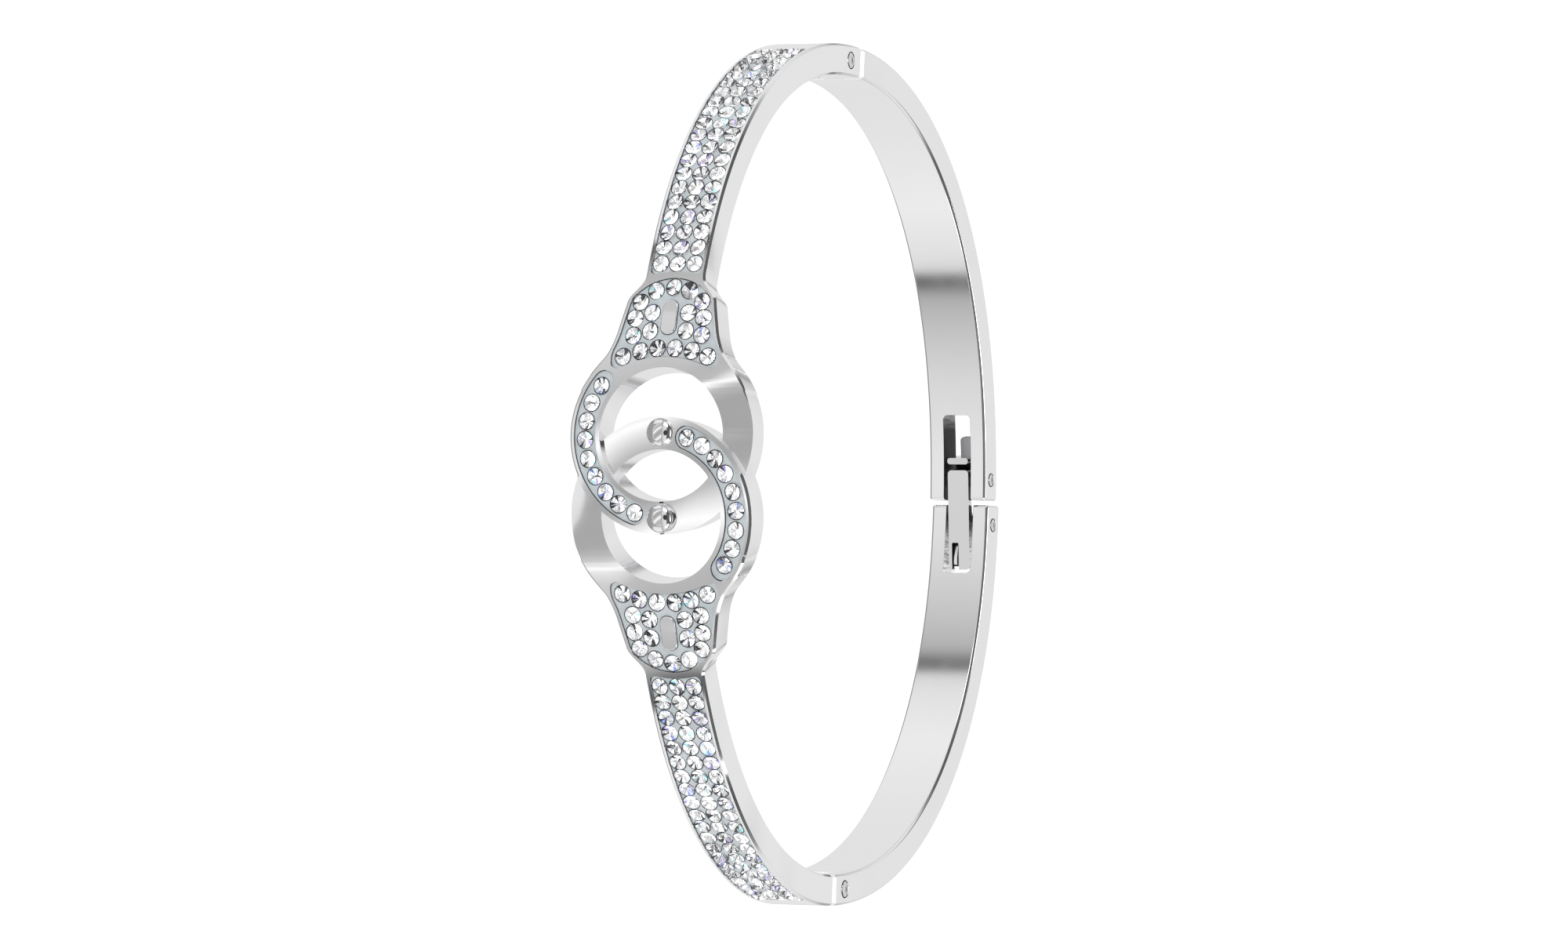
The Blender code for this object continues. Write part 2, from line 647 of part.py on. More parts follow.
def clasp(left_arm, right_arm):
    """Two cross pins, the link that turns on one and hooks the other, and its spring leaf."""
    catch = left_oval.place(LEFT_ARM_CLASP_END + CATCH_PIN_BACK, BAND_THICKNESS / 2)
    pivot = right_oval.place(RIGHT_ARM_CLASP_END - PIVOT_PIN_BACK, BAND_THICKNESS / 2)
    span = float(np.linalg.norm(catch - pivot))
    local = Local(world(pivot, 0), catch - pivot)
    other = Local(world(catch, 0), catch - pivot)
    arm_pins = []
    for arm, place, name in ((left_arm, other, "catch_pin"), (right_arm, local, "link_pivot_pin")):
        cut(arm, place.rod(name + "_bore", CLASP_PIN_RADIUS + BORE_GAP, 2 * BAND_WIDTH))
        arm_pins.append(place.rod(name, CLASP_PIN_RADIUS, BAND_WIDTH - 2 * PIN_SHORT, PIN_STEEL))

    # Side outline of the link, in (forward, outward): the plate is on the wrist side
    hook = span + CLASP_PIN_RADIUS + BORE_GAP
    under = -(CLASP_PIN_RADIUS + BORE_GAP)
    inner = under - LINK_SHEET
    fold = hook + LINK_HOOK_WALL
    bar = fold + LINK_FOLD
    tab = bar + LINK_BAR
    bridge = LINK_TAB_LEVEL - LINK_SHEET
    boss = arc((0, 0), LINK_BOSS_RADIUS, math.radians(-35), math.radians(215))
    outline = [(-LINK_TAIL, -LINK_TAIL_LEVEL), (fold, inner), (fold, bridge), (bar, bridge)]
    outline += [(bar, inner), (tab, inner), (tab, bridge), (tab + LINK_TAB, bridge)]
    outline += [(tab + LINK_TAB, LINK_TAB_LEVEL), (hook, LINK_TAB_LEVEL), (hook, under)]
    outline += boss + [(-LINK_TAIL, LINK_SHEET - LINK_TAIL_LEVEL)]
    link = local.prism("clasp_link", outline, -LINK_WIDTH / 2, LINK_WIDTH / 2, STEEL)
    cut(link, local.rod("clasp_link_bore", CLASP_PIN_RADIUS + BORE_GAP, BAND_WIDTH))
    room = [(-NOTCH_END, -2 * LINK_TAIL_LEVEL), (-NOTCH_START, -2 * LINK_TAIL_LEVEL)]
    room += [(-NOTCH_START, -LINK_BOSS_RADIUS / 2), (-NOTCH_END, -LINK_BOSS_RADIUS / 2)]
    low = -NOTCH_SIDE - NOTCH_WIDTH / 2
    cut(link, local.prism("clasp_link_notch", room, low, low + NOTCH_WIDTH))

    # The leaf rises from under the plate into the notch
    start = -NOTCH_START + SPRING_INSET
    end = -NOTCH_END + SPRING_INSET
    level = -LINK_TAIL_LEVEL + LINK_SHEET + SPRING_THICKNESS
    leaf = []
    for k in range(9):
        share = k / 8
        rise = SPRING_RISE * math.sin(share * math.pi / 2)
        leaf.append((start + (end - start) * share, level + SPRING_GAP - rise))
    back = [(u, v + SPRING_THICKNESS) for u, v in reversed(leaf)]
    low += FIT_GAP
    high = low + NOTCH_WIDTH - 2 * FIT_GAP
    spring = local.prism("link_spring", leaf + back, low, high, SPRING_STEEL)
    return *arm_pins, link, spring


def hang(name, pin, *pieces):
    """An empty on a joint's axis that carries these pieces and whatever shapes them."""
    axis = bpy.data.objects.new(name, None)
    bpy.context.scene.collection.objects.link(axis)
    axis.location = pin
    carried = list(pieces)
    for piece in pieces:
        for modifier in piece.modifiers:
            if modifier.operation == "UNION":
                carried.append(modifier.object)
            else:
                carried += modifier.collection.objects
    for piece in carried:
        piece.parent = axis
        piece.matrix_parent_inverse = Matrix.Translation(-pin)
    return axis


def main():
    for old in list(bpy.data.objects):
        bpy.data.objects.remove(old, do_unlink=True)

    frame = band_piece(
        "front_frame", front_outline(), 0, BAND_THICKNESS, finish=STEEL, chamfer=EDGE_CHAMFER
    )
    through = BAND_THICKNESS + CUT_PAST
    cut(frame, band_piece("lens_opening", lens_opening(), -CUT_PAST, through))
    for side, where in ((-1, "left"), (1, "right")):
        for shape, outline, depth in (
            ("opening", outer_opening(), through),
            ("plain_outer", plain_outer(), PLAIN_DROP),
            ("plain_inner", plain_inner(), PLAIN_DROP),
        ):
            name = f"{where}_{shape}"
            cut(frame, band_piece(name, turned(outline, side), -CUT_PAST, depth))
        set_field(f"strip_{where}", side, strip_outline, strip_stones, frame)
        set_field(f"lock_{where}", side, lock_outline, lock_stones, frame, keyhole_outline)
        set_field(f"cuff_{where}", side, cuff_outline, cuff_stones, frame)
        stud(f"stud_{where}", -side, frame)

    left_arm = rear_arm(
        "arm_left", left_oval, LEFT_ARM_HINGE_END, LEFT_ARM_CLASP_END, LEFT_SLOT_LENGTH
    )
    right_arm = rear_arm(
        "arm_right", right_oval, RIGHT_ARM_HINGE_END, RIGHT_ARM_CLASP_END, RIGHT_SLOT_LENGTH
    )
    left_pin = hinge("hinge_left", left_oval, LEFT_PIN, frame, left_arm)
    right_pin = hinge("hinge_right", right_oval, RIGHT_PIN, right_arm, frame)
    catch, pivot, link, spring = clasp(left_arm, right_arm)
    hang("arm_left_axis", left_pin.location, left_arm, catch)
    right_axis = hang("arm_right_axis", right_pin.location, right_arm, right_pin, pivot)
    link_axis = hang("clasp_link_axis", pivot.location, link, spring)
    link_axis.parent = right_axis
    link_axis.matrix_parent_inverse = Matrix.Translation(-right_pin.location)


main()
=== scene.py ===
"""Oval hinged bangle in polished steel: a crystal-set front with linked rings, two arms and a clasp.

Band pieces are drawn unrolled, as (along, depth, across): the distance along the outer line from the
middle of the front, the depth below the outer surface, and the height above the band's middle. They
are bevelled there, sliced and laid round the oval.
"""

import math
import random
from math import cos, hypot, pi, radians, sin, sqrt

import bmesh
import bpy
import numpy as np
from mathutils import Matrix, Vector


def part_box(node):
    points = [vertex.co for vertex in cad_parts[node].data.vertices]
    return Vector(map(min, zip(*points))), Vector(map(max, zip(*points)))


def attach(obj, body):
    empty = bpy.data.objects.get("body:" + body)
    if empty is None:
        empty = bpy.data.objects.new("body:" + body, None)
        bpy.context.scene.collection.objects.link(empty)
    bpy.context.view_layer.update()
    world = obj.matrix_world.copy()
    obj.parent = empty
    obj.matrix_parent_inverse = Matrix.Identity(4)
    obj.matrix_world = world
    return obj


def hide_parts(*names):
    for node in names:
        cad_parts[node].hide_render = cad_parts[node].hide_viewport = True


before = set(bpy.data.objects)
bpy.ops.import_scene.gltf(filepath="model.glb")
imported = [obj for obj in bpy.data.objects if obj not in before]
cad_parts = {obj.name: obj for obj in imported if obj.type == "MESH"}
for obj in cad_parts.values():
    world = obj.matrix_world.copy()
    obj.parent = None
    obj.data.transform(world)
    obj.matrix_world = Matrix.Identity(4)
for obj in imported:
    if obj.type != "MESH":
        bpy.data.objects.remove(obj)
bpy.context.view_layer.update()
MM = 0.001


# -------- camera, floor and light
# A long lens stands well back, about 25 degrees above the bangle, and lies on its side, so that the
# bangle's length runs up the picture. Floor and room are pale. The steel mirrors a dark band to each
# side, one high up, and a striped card before the rings.

VIEW_RISE = 0.4374
VIEW_SWING = 0.0047
VIEW_ROLL = 0.0025
VIEW_DISTANCE = 569.06 * MM
VIEW_LENS = 178.43
VIEW_SHIFT = -0.01798
VIEW_SHIFT_UP = 0.0025
FLOOR_HALF = 1.2
PAPER_TONE = 0.15
PAPER_GLOW = 0.95
GROUND_TONE = 0.34
LENS_TONE = 0.05
CARD_WIDTH = 48 * MM
CARD_HEIGHT = 16 * MM
CARD_Y = -45 * MM
CARD_Z = -1 * MM
CARD_SLANT = 0.7
CARD_GLOW = 1.15
OVAL_Y = -1.519 * MM  # the oval's centre, from the middle of the box
BAND_Z = 7.1 * MM  # the band's middle, above the floor

towards = Vector((0, -cos(VIEW_RISE), sin(VIEW_RISE)))
towards.rotate(Matrix.Rotation(-VIEW_SWING, 3, "Z"))
aim = Vector((0, OVAL_Y, BAND_Z))


def put(name, data):
    """An object with this data, in the scene."""
    made = bpy.data.objects.new(name, data)
    bpy.context.scene.collection.objects.link(made)
    return made


def settled(name, mesh):
    """The bmesh as mesh data; the bmesh is freed."""
    data = bpy.data.meshes.new(name)
    mesh.to_mesh(data)
    mesh.free()
    return data


lens = bpy.data.cameras.new("camera")
lens.lens = VIEW_LENS
lens.sensor_width = 36
lens.shift_x = VIEW_SHIFT
lens.shift_y = VIEW_SHIFT_UP
lens.clip_start = 0.01
lens.clip_end = 10
camera = put("camera", lens)
top = Matrix.Rotation(VIEW_ROLL, 3, towards) @ Vector((-1, 0, 0))
picture_right = top.cross(towards).normalized()
picture_up = towards.cross(picture_right)
turn = Matrix((picture_right, picture_up, towards)).transposed()
camera.matrix_world = Matrix.Translation(aim + towards * VIEW_DISTANCE) @ turn.to_4x4()
bpy.context.scene.camera = camera
bpy.context.scene.view_settings.view_transform = "Standard"
bpy.context.scene.view_settings.look = "None"


def nodes_of(made):
    """The material's or world's nodes, a function that links two sockets, and one that adds a node."""
    made.use_nodes = True
    tree = made.node_tree

    def add(kind, **settings):
        node = tree.nodes.new(kind)
        for name, value in settings.items():
            if name in node.inputs:
                node.inputs[name].default_value = value
            else:
                setattr(node, name, value)
        return node

    return tree.nodes, tree.links.new, add


def ramp(add, *stops):
    """A colour ramp with these (position, grey) or (position, (r, g, b)) stops."""
    node = add("ShaderNodeValToRGB")
    elements = node.color_ramp.elements
    while len(elements) < len(stops):
        elements.new(0.5)
    for element, (position, tone) in zip(elements, stops):
        element.position = position
        element.color = (*tone, 1) if isinstance(tone, tuple) else (tone, tone, tone, 1)
    return node


def painted(name, **settings):
    """A material with these shader settings (Base_Color for Base Color), and what its nodes need."""
    made = bpy.data.materials.new(name)
    nodes, wire, add = nodes_of(made)
    sockets = nodes["Principled BSDF"].inputs
    for setting, value in settings.items():
        sockets[setting.replace("_", " ")].default_value = value
    return made, wire, add, sockets


def toned(wire, add, source, *stops):
    """Colours from a value, by these stops."""
    shades = ramp(add, *stops)
    wire(source, shades.inputs["Fac"])
    return shades.outputs["Color"]


grid = bmesh.new()
bmesh.ops.create_grid(grid, x_segments=8, y_segments=8, size=FLOOR_HALF)
floor = put("floor", settled("floor", grid))
paper = painted(
    "white_paper", Base_Color=(PAPER_TONE, PAPER_TONE, PAPER_TONE, 1), Roughness=0.9,
    Specular_IOR_Level=0.1, Emission_Color=(1, 1, 1, 1), Emission_Strength=PAPER_GLOW,
)
floor.data.materials.append(paper[0])
floor.visible_glossy = False
floor.visible_transmission = False

room = bpy.data.worlds.new("room")
bpy.context.scene.world = room
nodes, wire, add = nodes_of(room)


def linked(kind, *sources, **settings):
    """A node of the room whose first inputs come from these outputs or numbers."""
    node = add(kind, **settings)
    for socket, source in zip(node.inputs, sources):
        if isinstance(source, (int, float)):
            socket.default_value = source
        else:
            wire(source, socket)
    return node.outputs[0]


def room_tone(source, low, high, *stops):
    """Greys from a value that runs from low to high, by (value, grey) stops."""
    share = linked("ShaderNodeMapRange", source, low, high, 0.0, 1.0)
    return toned(wire, add, share, *[((value - low) / (high - low), tone) for value, tone in stops])


where = add("ShaderNodeTexCoord")
split = add("ShaderNodeSeparateXYZ")
wire(where.outputs["Generated"], split.inputs[0])
eastward, northward, upward = split.outputs
southward = linked("ShaderNodeMath", northward, -1.0, operation="MULTIPLY")
bearing = linked("ShaderNodeMath", eastward, southward, operation="ARCTAN2")
degrees = linked("ShaderNodeMath", bearing, 180 / pi, operation="MULTIPLY")
below = room_tone(
    degrees, -180, 180,
    (-180, 0.80), (-110, 0.86), (-75, 0.93), (-52, 0.82), (-50, 0.06), (-47, 0.10), (-44, 0.50),
    (-15, 0.80), (0, 0.88), (20, 0.76), (44, 0.48), (47, 0.10),
    (50, 0.06), (52, 0.82), (75, 0.94), (110, 0.86), (180, 0.80),
)
above = room_tone(
    upward, 0, 1,
    (0.0, 0.30), (0.06, 0.62), (0.25, 0.80), (0.42, 0.86), (0.50, 0.80), (0.56, 0.30), (0.62, 0.10),
    (0.92, 0.14), (0.97, 0.90), (1.0, 1.0),
)


def blended(share, first, second):
    """From one tone of the room to another, as the share runs from 0 to 1."""
    node = add("ShaderNodeMix", data_type="RGBA")
    wire(share, node.inputs["Factor"])
    for socket, source in (("A", first), ("B", second)):
        if isinstance(source, float):
            node.inputs[socket].default_value = (source, source, source, 1)
        else:
            wire(source, node.inputs[socket])
    return node.outputs["Result"]


rise = linked("ShaderNodeMapRange", upward, -0.12, 0.03, 0.0, 1.0)
tones = blended(rise, below, above)
depth = linked("ShaderNodeMapRange", upward, -0.62, -0.78, 0.0, 1.0)
tones = blended(depth, tones, GROUND_TONE)
facing = add("ShaderNodeVectorMath", operation="DOT_PRODUCT")
wire(where.outputs["Generated"], facing.inputs[0])
facing.inputs[1].default_value = towards
stand = linked("ShaderNodeMapRange", facing.outputs["Value"], 0.955, 0.975, 0.0, 1.0)
tones = blended(stand, tones, LENS_TONE)
seen = add("ShaderNodeLightPath")
tones = blended(seen.outputs["Is Camera Ray"], tones, 1.0)
wire(tones, nodes["Background"].inputs["Color"])
nodes["Background"].inputs["Strength"].default_value = 1.0


def softbox(name, place, size, power):
    """A soft rectangular light, aimed at the bangle."""
    lamp = bpy.data.lights.new(name, "AREA")
    lamp.shape = "RECTANGLE"
    lamp.size, lamp.size_y = size
    lamp.energy = power
    made = put(name, lamp)
    made.location = place
    made.rotation_euler = (aim - Vector(place)).to_track_quat("-Z", "Y").to_euler()


def striped_card():
    """A striped card close before the rings; only their mirror finish shows it."""
    board = bmesh.new()
    bmesh.ops.create_grid(
        board, x_segments=4, y_segments=2, size=0.5, matrix=Matrix.Rotation(pi / 2, 4, "X")
    )
    bmesh.ops.scale(board, verts=board.verts, vec=(CARD_WIDTH, 1, CARD_HEIGHT))
    bmesh.ops.translate(board, verts=board.verts, vec=(0, CARD_Y, CARD_Z))
    card = put("card", settled("card", board))
    made, wire, add, sockets = painted(
        "striped_card", Base_Color=(0, 0, 0, 1), Specular_IOR_Level=0.0, Emission_Strength=CARD_GLOW
    )
    place = add("ShaderNodeTexCoord")
    along = add("ShaderNodeVectorMath", operation="DOT_PRODUCT")
    wire(place.outputs["Object"], along.inputs[0])
    along.inputs[1].default_value = (1, 0, CARD_SLANT)
    share = add("ShaderNodeMapRange", **{"From Min": -CARD_WIDTH / 2, "From Max": CARD_WIDTH / 2})
    wire(along.outputs["Value"], share.inputs["Value"])
    stripes = toned(
        wire, add, share.outputs["Result"],
        (0.0, 0.62), (0.17, 0.46), (0.25, 0.48), (0.32, 1.0), (0.39, 0.48), (0.46, 0.36),
        (0.52, 0.38), (0.57, 0.52), (0.64, 1.0), (0.72, 0.50), (0.81, 0.44), (1.0, 0.62),
    )
    wire(stripes, sockets["Emission Color"])
    card.data.materials.append(made)
    for ray in ("camera", "diffuse", "transmission", "shadow"):
        setattr(card, "visible_" + ray, False)


striped_card()
softbox("box_over", (0.05, 0.1, 0.5), (0.4, 0.3), 1.2)
softbox("box_left", (-0.45, -0.3, 0.25), (0.25, 0.3), 0.5)
softbox("box_right", (0.45, -0.15, 0.3), (0.2, 0.3), 0.5)


# -------- front frame
# One polished steel casting: the band's front half, two lock-shaped bodies and two linked rings, with
# pockets sunk for the crystals and the edges broken by hand polishing. Half of each ring lies lower and
# passes under the other one.

HALF_LENGTH = 31.5 * MM
FRONT_DEPTH = 25.4 * MM
REAR_DEPTH = 28.4 * MM
ARM_STEP = 0.55 * MM
FRONT_FULLNESS = 2.06
REAR_FULLNESS = 2.13
BAND_WIDTH = 4.64 * MM
BAND_THICKNESS = 2.27 * MM
EDGE_CHAMFER = 0.16 * MM
EDGE_ROUND = 0.045 * MM
RING_OFFSET = 2.9 * MM
RING_OUTER = 7.1 * MM
RING_INNER = 4.75 * MM
RING_MIDDLE = (RING_OUTER + RING_INNER) / 2
RING_REACH = RING_OFFSET + RING_OUTER
RING_ALONE = RING_REACH - 3.9 * MM
RING_LEDGE = 0.03 * MM
PLAIN_DROP = 0.35 * MM
PLAIN_END = radians(55)
RAMP_STEPS = 10
RAMP_LENGTH = 4.0 * MM
LOCK_START = RING_REACH - 1.0 * MM
LOCK_START_HALF_WIDTH = 4.2 * MM
LOCK_END = RING_REACH + 2.4 * MM
LOCK_END_HALF_WIDTH = 3.45 * MM
LOCK_BLEND = 0.8 * MM
SHOULDER_END = RING_REACH + 4.4 * MM
POCKET_DEPTH = 0.55 * MM
POCKET_RIM = 0.33 * MM
POCKET_CORNER = 0.4 * MM
STONE_RADIUS = 0.6 * MM
STONE_MARGIN = 0.07 * MM
STRIP_FIRST = SHOULDER_END + 0.95 * MM
STRIP_PITCH = 1.245 * MM
STRIP_ROWS = 20
STRIP_HOLLOW = 7.0 * MM  # the strip's end follows the lock body's crown
CUFF_STONES = 9
CUFF_FIRST = radians(54.5)
CUFF_PITCH = radians(13.2)
LOCK_HOLLOW = RING_REACH - 1.6 * MM
LOCK_HOLLOW_RADIUS = 8.3 * MM
LOCK_HOLLOW_SPREAD = radians(25)
LOCK_CORNER = 0.5 * MM
LOCK_CROWN = RING_REACH + 3.55 * MM
LOCK_CROWN_RADIUS = 3.2 * MM
LOCK_CROWN_SPREAD = radians(52)
LEFT_PIN_PAST = 1.65 * MM
RIGHT_PIN_PAST = 0.92 * MM
HINGE_REACH = 0.88 * BAND_THICKNESS
JOINT_GAP = 0.65 * MM
HINGE_PIN_RADIUS = 0.65 * MM
TONGUE_WIDTH = 1.56 * MM
TONGUE_SKIN = 0.08 * MM
TONGUE_ROOT = 0.8 * MM
TONGUE_SIDE_GAP = 0.04 * MM
TONGUE_END_GAP = 0.12 * MM
SLICE = 0.8 * MM
ARC_CHORD = 0.3 * MM
ARC_TURN = radians(12)
PAST = 1.0 * MM
THROUGH = BAND_THICKNESS + PAST
HAIR = 0.01 * MM
SHARP = radians(28)
SOFT = cos(radians(50))
SATIN_PAINTED_GLOW = 0.45
WAVE_SCALE = 150.0
WAVE_HEIGHT = 0.3 * MM


class Oval:
    """The outer line of the bangle, walked by its length from the middle of the front towards +X."""

    def __init__(self, rear_depth):
        turn = np.linspace(-np.pi, np.pi, 14401)
        front = np.cos(turn) > 0
        power = 2 / np.where(front, FRONT_FULLNESS, REAR_FULLNESS)
        deep = np.where(front, FRONT_DEPTH, rear_depth)
        self.x = HALF_LENGTH * np.sign(np.sin(turn)) * np.abs(np.sin(turn)) ** power
        self.y = -deep * np.sign(np.cos(turn)) * np.abs(np.cos(turn)) ** power
        length = np.concatenate([[0], np.cumsum(np.hypot(np.diff(self.x), np.diff(self.y)))])
        self.length = length - np.interp(0, turn, length)
        self.half = self.length[-1]
        self.widest = np.interp(np.pi / 2, turn, self.length)

    def at(self, along):
        along = (np.asarray(along) + self.half) % (2 * self.half) - self.half
        return np.stack([np.interp(along, self.length, line) for line in (self.x, self.y)], -1)

    def heading(self, along):
        reach = 0.25 * MM
        step = self.at(np.asarray(along) + reach) - self.at(np.asarray(along) - reach)
        return step / np.linalg.norm(step, axis=-1, keepdims=True)

    def bend(self, places, normals):
        """Flat places and their normals, laid round the oval."""
        ahead = self.heading(places[:, 0])
        inward = np.stack([-ahead[:, 1], ahead[:, 0]], -1)
        laid = self.at(places[:, 0]) + inward * places[:, 1:2]
        spots = np.column_stack([laid[:, 0], laid[:, 1] + OVAL_Y, places[:, 2] + BAND_Z])
        turned = ahead * normals[:, 0:1] + inward * normals[:, 1:2]
        return spots, np.column_stack([turned, normals[:, 2]])


left_oval = Oval(REAR_DEPTH)
right_oval = Oval(REAR_DEPTH + ARM_STEP)
CHEEK_END = HINGE_REACH - JOINT_GAP / 2
SHOULDER = HINGE_REACH + JOINT_GAP / 2
LEFT_PIN = -(left_oval.widest + LEFT_PIN_PAST)
RIGHT_PIN = right_oval.widest + RIGHT_PIN_PAST
STRIP_START = STRIP_FIRST - STONE_RADIUS - STONE_MARGIN
STRIP_END = STRIP_FIRST + (STRIP_ROWS - 1) * STRIP_PITCH + STONE_RADIUS + STONE_MARGIN


def arc(centre, radius, start, end):
    """Points on a circle in (along, across), from one angle to another; angle 0 points along."""
    turns = abs(end - start)
    count = max(2, math.ceil(turns / ARC_TURN) + 1, math.ceil(turns * radius / ARC_CHORD) + 1)
    angles = [start + (end - start) * k / (count - 1) for k in range(count)]
    return [(centre[0] + radius * cos(t), centre[1] + radius * sin(t)) for t in angles]


def rounded_box(low, high, half_width, corner):
    """Outline of a box from low to high along the band, with rounded corners."""
    quarter = pi / 2
    points = []
    for along, across, start in (
        (high - corner, half_width - corner, 0),
        (low + corner, half_width - corner, quarter),
        (low + corner, corner - half_width, 2 * quarter),
        (high - corner, corner - half_width, 3 * quarter),
    ):
        points += arc((along, across), corner, start, start + quarter)
    return points


def turned(outline, side):
    """The right side's outline, or the same turned half round for the left."""
    return [(side * along, side * across) for along, across in outline]


def prism(outline, low, high, axis=1, chamfer=0.0):
    """A bmesh with this outline, pushed from low to high along one flat axis."""
    mesh = bmesh.new()
    corners = []
    for first, second in outline:
        spot = [first, second]
        spot.insert(axis, low)
        corners.append(mesh.verts.new(spot))
    mesh.faces.new(corners)
    pushed = bmesh.ops.extrude_face_region(mesh, geom=mesh.faces[:])
    shift = [0.0, 0.0, 0.0]
    shift[axis] = high - low
    moved = [item for item in pushed["geom"] if isinstance(item, bmesh.types.BMVert)]
    bmesh.ops.translate(mesh, verts=moved, vec=shift)
    if chamfer:
        rims = [e for e in mesh.edges if abs(e.verts[0].co[axis] - e.verts[1].co[axis]) < MM / 1000]
        bmesh.ops.bevel(
            mesh, geom=rims, offset=chamfer, segments=1, profile=0.5, affect="EDGES", material=-1
        )
    bmesh.ops.recalc_face_normals(mesh, faces=mesh.faces)
    if mesh.calc_volume(signed=True) < 0:
        bmesh.ops.reverse_faces(mesh, faces=mesh.faces)
    return mesh


def shaped(base, joined=(), cutters=(), kept=()):
    """The base with these joined to it, then these cut away, and last only what these hold kept."""
    body = put("shaping", settled("shaping", base))
    helpers = []
    for operation, others in (("UNION", joined), ("DIFFERENCE", cutters), ("INTERSECT", kept)):
        if not others:
            continue
        group = bpy.data.collections.new(operation)
        for other in others:
            helper = put("helper", settled("helper", other))
            group.objects.link(helper)
            helpers.append(helper)
        modifier = body.modifiers.new(operation, "BOOLEAN")
        modifier.operation = operation
        modifier.operand_type = "COLLECTION"
        modifier.solver = "EXACT"
        modifier.use_self = operation == "DIFFERENCE"
        modifier.collection = group
    result = bmesh.new()
    result.from_object(body, bpy.context.evaluated_depsgraph_get())
    for helper in [body, *helpers]:
        bpy.data.objects.remove(helper, do_unlink=True)
    bmesh.ops.remove_doubles(result, verts=result.verts, dist=MM / 2000)
    bmesh.ops.dissolve_limit(
        result, angle_limit=radians(0.5), verts=result.verts, edges=result.edges
    )
    return result


def soften(mesh, offset, segments=2, chosen=lambda edge: True):
    """Rounds the sharp edges and marks the new faces, which take their shade from the large ones."""
    mark = mesh.faces.layers.int.get("rounding") or mesh.faces.layers.int.new("rounding")
    sharp = [
        e for e in mesh.edges
        if len(e.link_faces) == 2 and e.calc_face_angle(0) > SHARP and chosen(e)
    ]
    made = bmesh.ops.bevel(
        mesh, geom=sharp, offset=offset, segments=segments, profile=0.5, affect="EDGES",
        material=-1, clamp_overlap=True,
    )
    for face in made["faces"]:
        face[mark] = 1
    return mesh


def sliced(mesh, step=SLICE):
    """Cuts the flat mesh at even distances along, so that it can bend."""
    ends = [vertex.co.x for vertex in mesh.verts]
    for k in range(math.ceil(min(ends) / step), math.floor(max(ends) / step) + 1):
        everything = mesh.verts[:] + mesh.edges[:] + mesh.faces[:]
        bmesh.ops.bisect_plane(
            mesh, geom=everything, dist=MM / 1e5, plane_co=(k * step, 0, 0), plane_no=(1, 0, 0)
        )
    return mesh


def finished(name, mesh, bend, finishes, body, replaced=(), smooth=True):
    """The object: corner shades worked out flat, then every point and shade put in place by bend."""
    bmesh.ops.triangulate(mesh, faces=mesh.faces)
    mark = mesh.faces.layers.int.get("rounding")
    places = np.array([vertex.co for vertex in mesh.verts])
    shades, corners = [], []
    mesh.verts.index_update()
    for face in mesh.faces:
        for corner in face.loops:
            total = face.normal * 1e-9
            for other in corner.vert.link_faces:
                if other.normal.dot(face.normal) > SOFT:
                    weight = 1e-4 if mark and other[mark] else 1.0
                    total = total + other.normal * (weight * sqrt(other.calc_area()))
            shades.append(total.normalized() if smooth else face.normal)
            corners.append(corner.vert.index)
    shades = np.array(shades)
    spots, _ = bend(places, np.zeros_like(places))
    _, laid = bend(places[corners], shades)
    for vertex, spot in zip(mesh.verts, spots):
        vertex.co = spot
    data = settled(name, mesh)
    data.polygons.foreach_set("use_smooth", [smooth] * len(data.polygons))
    if smooth:
        data.normals_split_custom_set(laid)
    for finish in finishes:
        data.materials.append(finish)
    made = put(name, data)
    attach(made, body)
    if replaced:
        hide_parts(*replaced)


def speckle(wire, add, stretch=(1, 1, 1), **settings):
    """Noise in the piece's own coordinates, stretched along the axes whose share is small."""
    place = add("ShaderNodeTexCoord")
    squeeze = add("ShaderNodeMapping", Scale=stretch)
    wire(place.outputs["Object"], squeeze.inputs["Vector"])
    noise = add("ShaderNodeTexNoise", **settings)
    wire(squeeze.outputs["Vector"], noise.inputs["Vector"])
    return noise.outputs["Fac"]


def uneven(wire, add, sockets, height, strength, distance, over=None):
    """Bumps of this height, on top of other bumps where these are given."""
    bump = add("ShaderNodeBump", Strength=strength, Distance=distance)
    wire(height, bump.inputs["Height"])
    if over is not None:
        wire(over, bump.inputs["Normal"])
    wire(bump.outputs["Normal"], sockets["Normal"])
    return bump.outputs["Normal"]


def mottled(name, noise, stops, painted_glow=0.0, dimples=0.0, **settings):
    """A finish whose colour follows fine noise; it may glow in that colour, painted light, and be
    dimpled by it.
    """
    made, wire, add, sockets = painted(name, Emission_Strength=painted_glow, **settings)
    height = speckle(wire, add, **noise)
    tones = toned(wire, add, height, *stops)
    wire(tones, sockets["Base Color"])
    if painted_glow:
        wire(tones, sockets["Emission Color"])
    if dimples:
        uneven(wire, add, sockets, height, dimples, 0.03 * MM)
    return made


def steel(name, tone, roughness, grain, grain_scale, stretch=(1, 1, 1), wave=0.0):
    """Polished steel: fine polishing marks, slightly cloudy gloss, and hand-buffed waves."""
    made, wire, add, sockets = painted(name, Metallic=1.0, Base_Color=(*tone, 1))
    cloud = speckle(wire, add, Scale=260.0, Detail=2.0)
    blend = add("ShaderNodeMapRange", **{"To Min": roughness * 0.7, "To Max": roughness * 1.4})
    wire(cloud, blend.inputs["Value"])
    wire(blend.outputs["Result"], sockets["Roughness"])
    buffed = None
    if wave:
        swell = speckle(wire, add, Scale=WAVE_SCALE, Detail=0.0)
        buffed = uneven(wire, add, sockets, swell, 1.0, wave)
    marks = speckle(wire, add, stretch, Scale=grain_scale, Detail=4.0, Roughness=0.6)
    uneven(wire, add, sockets, marks, grain, 0.02 * MM, buffed)
    return made


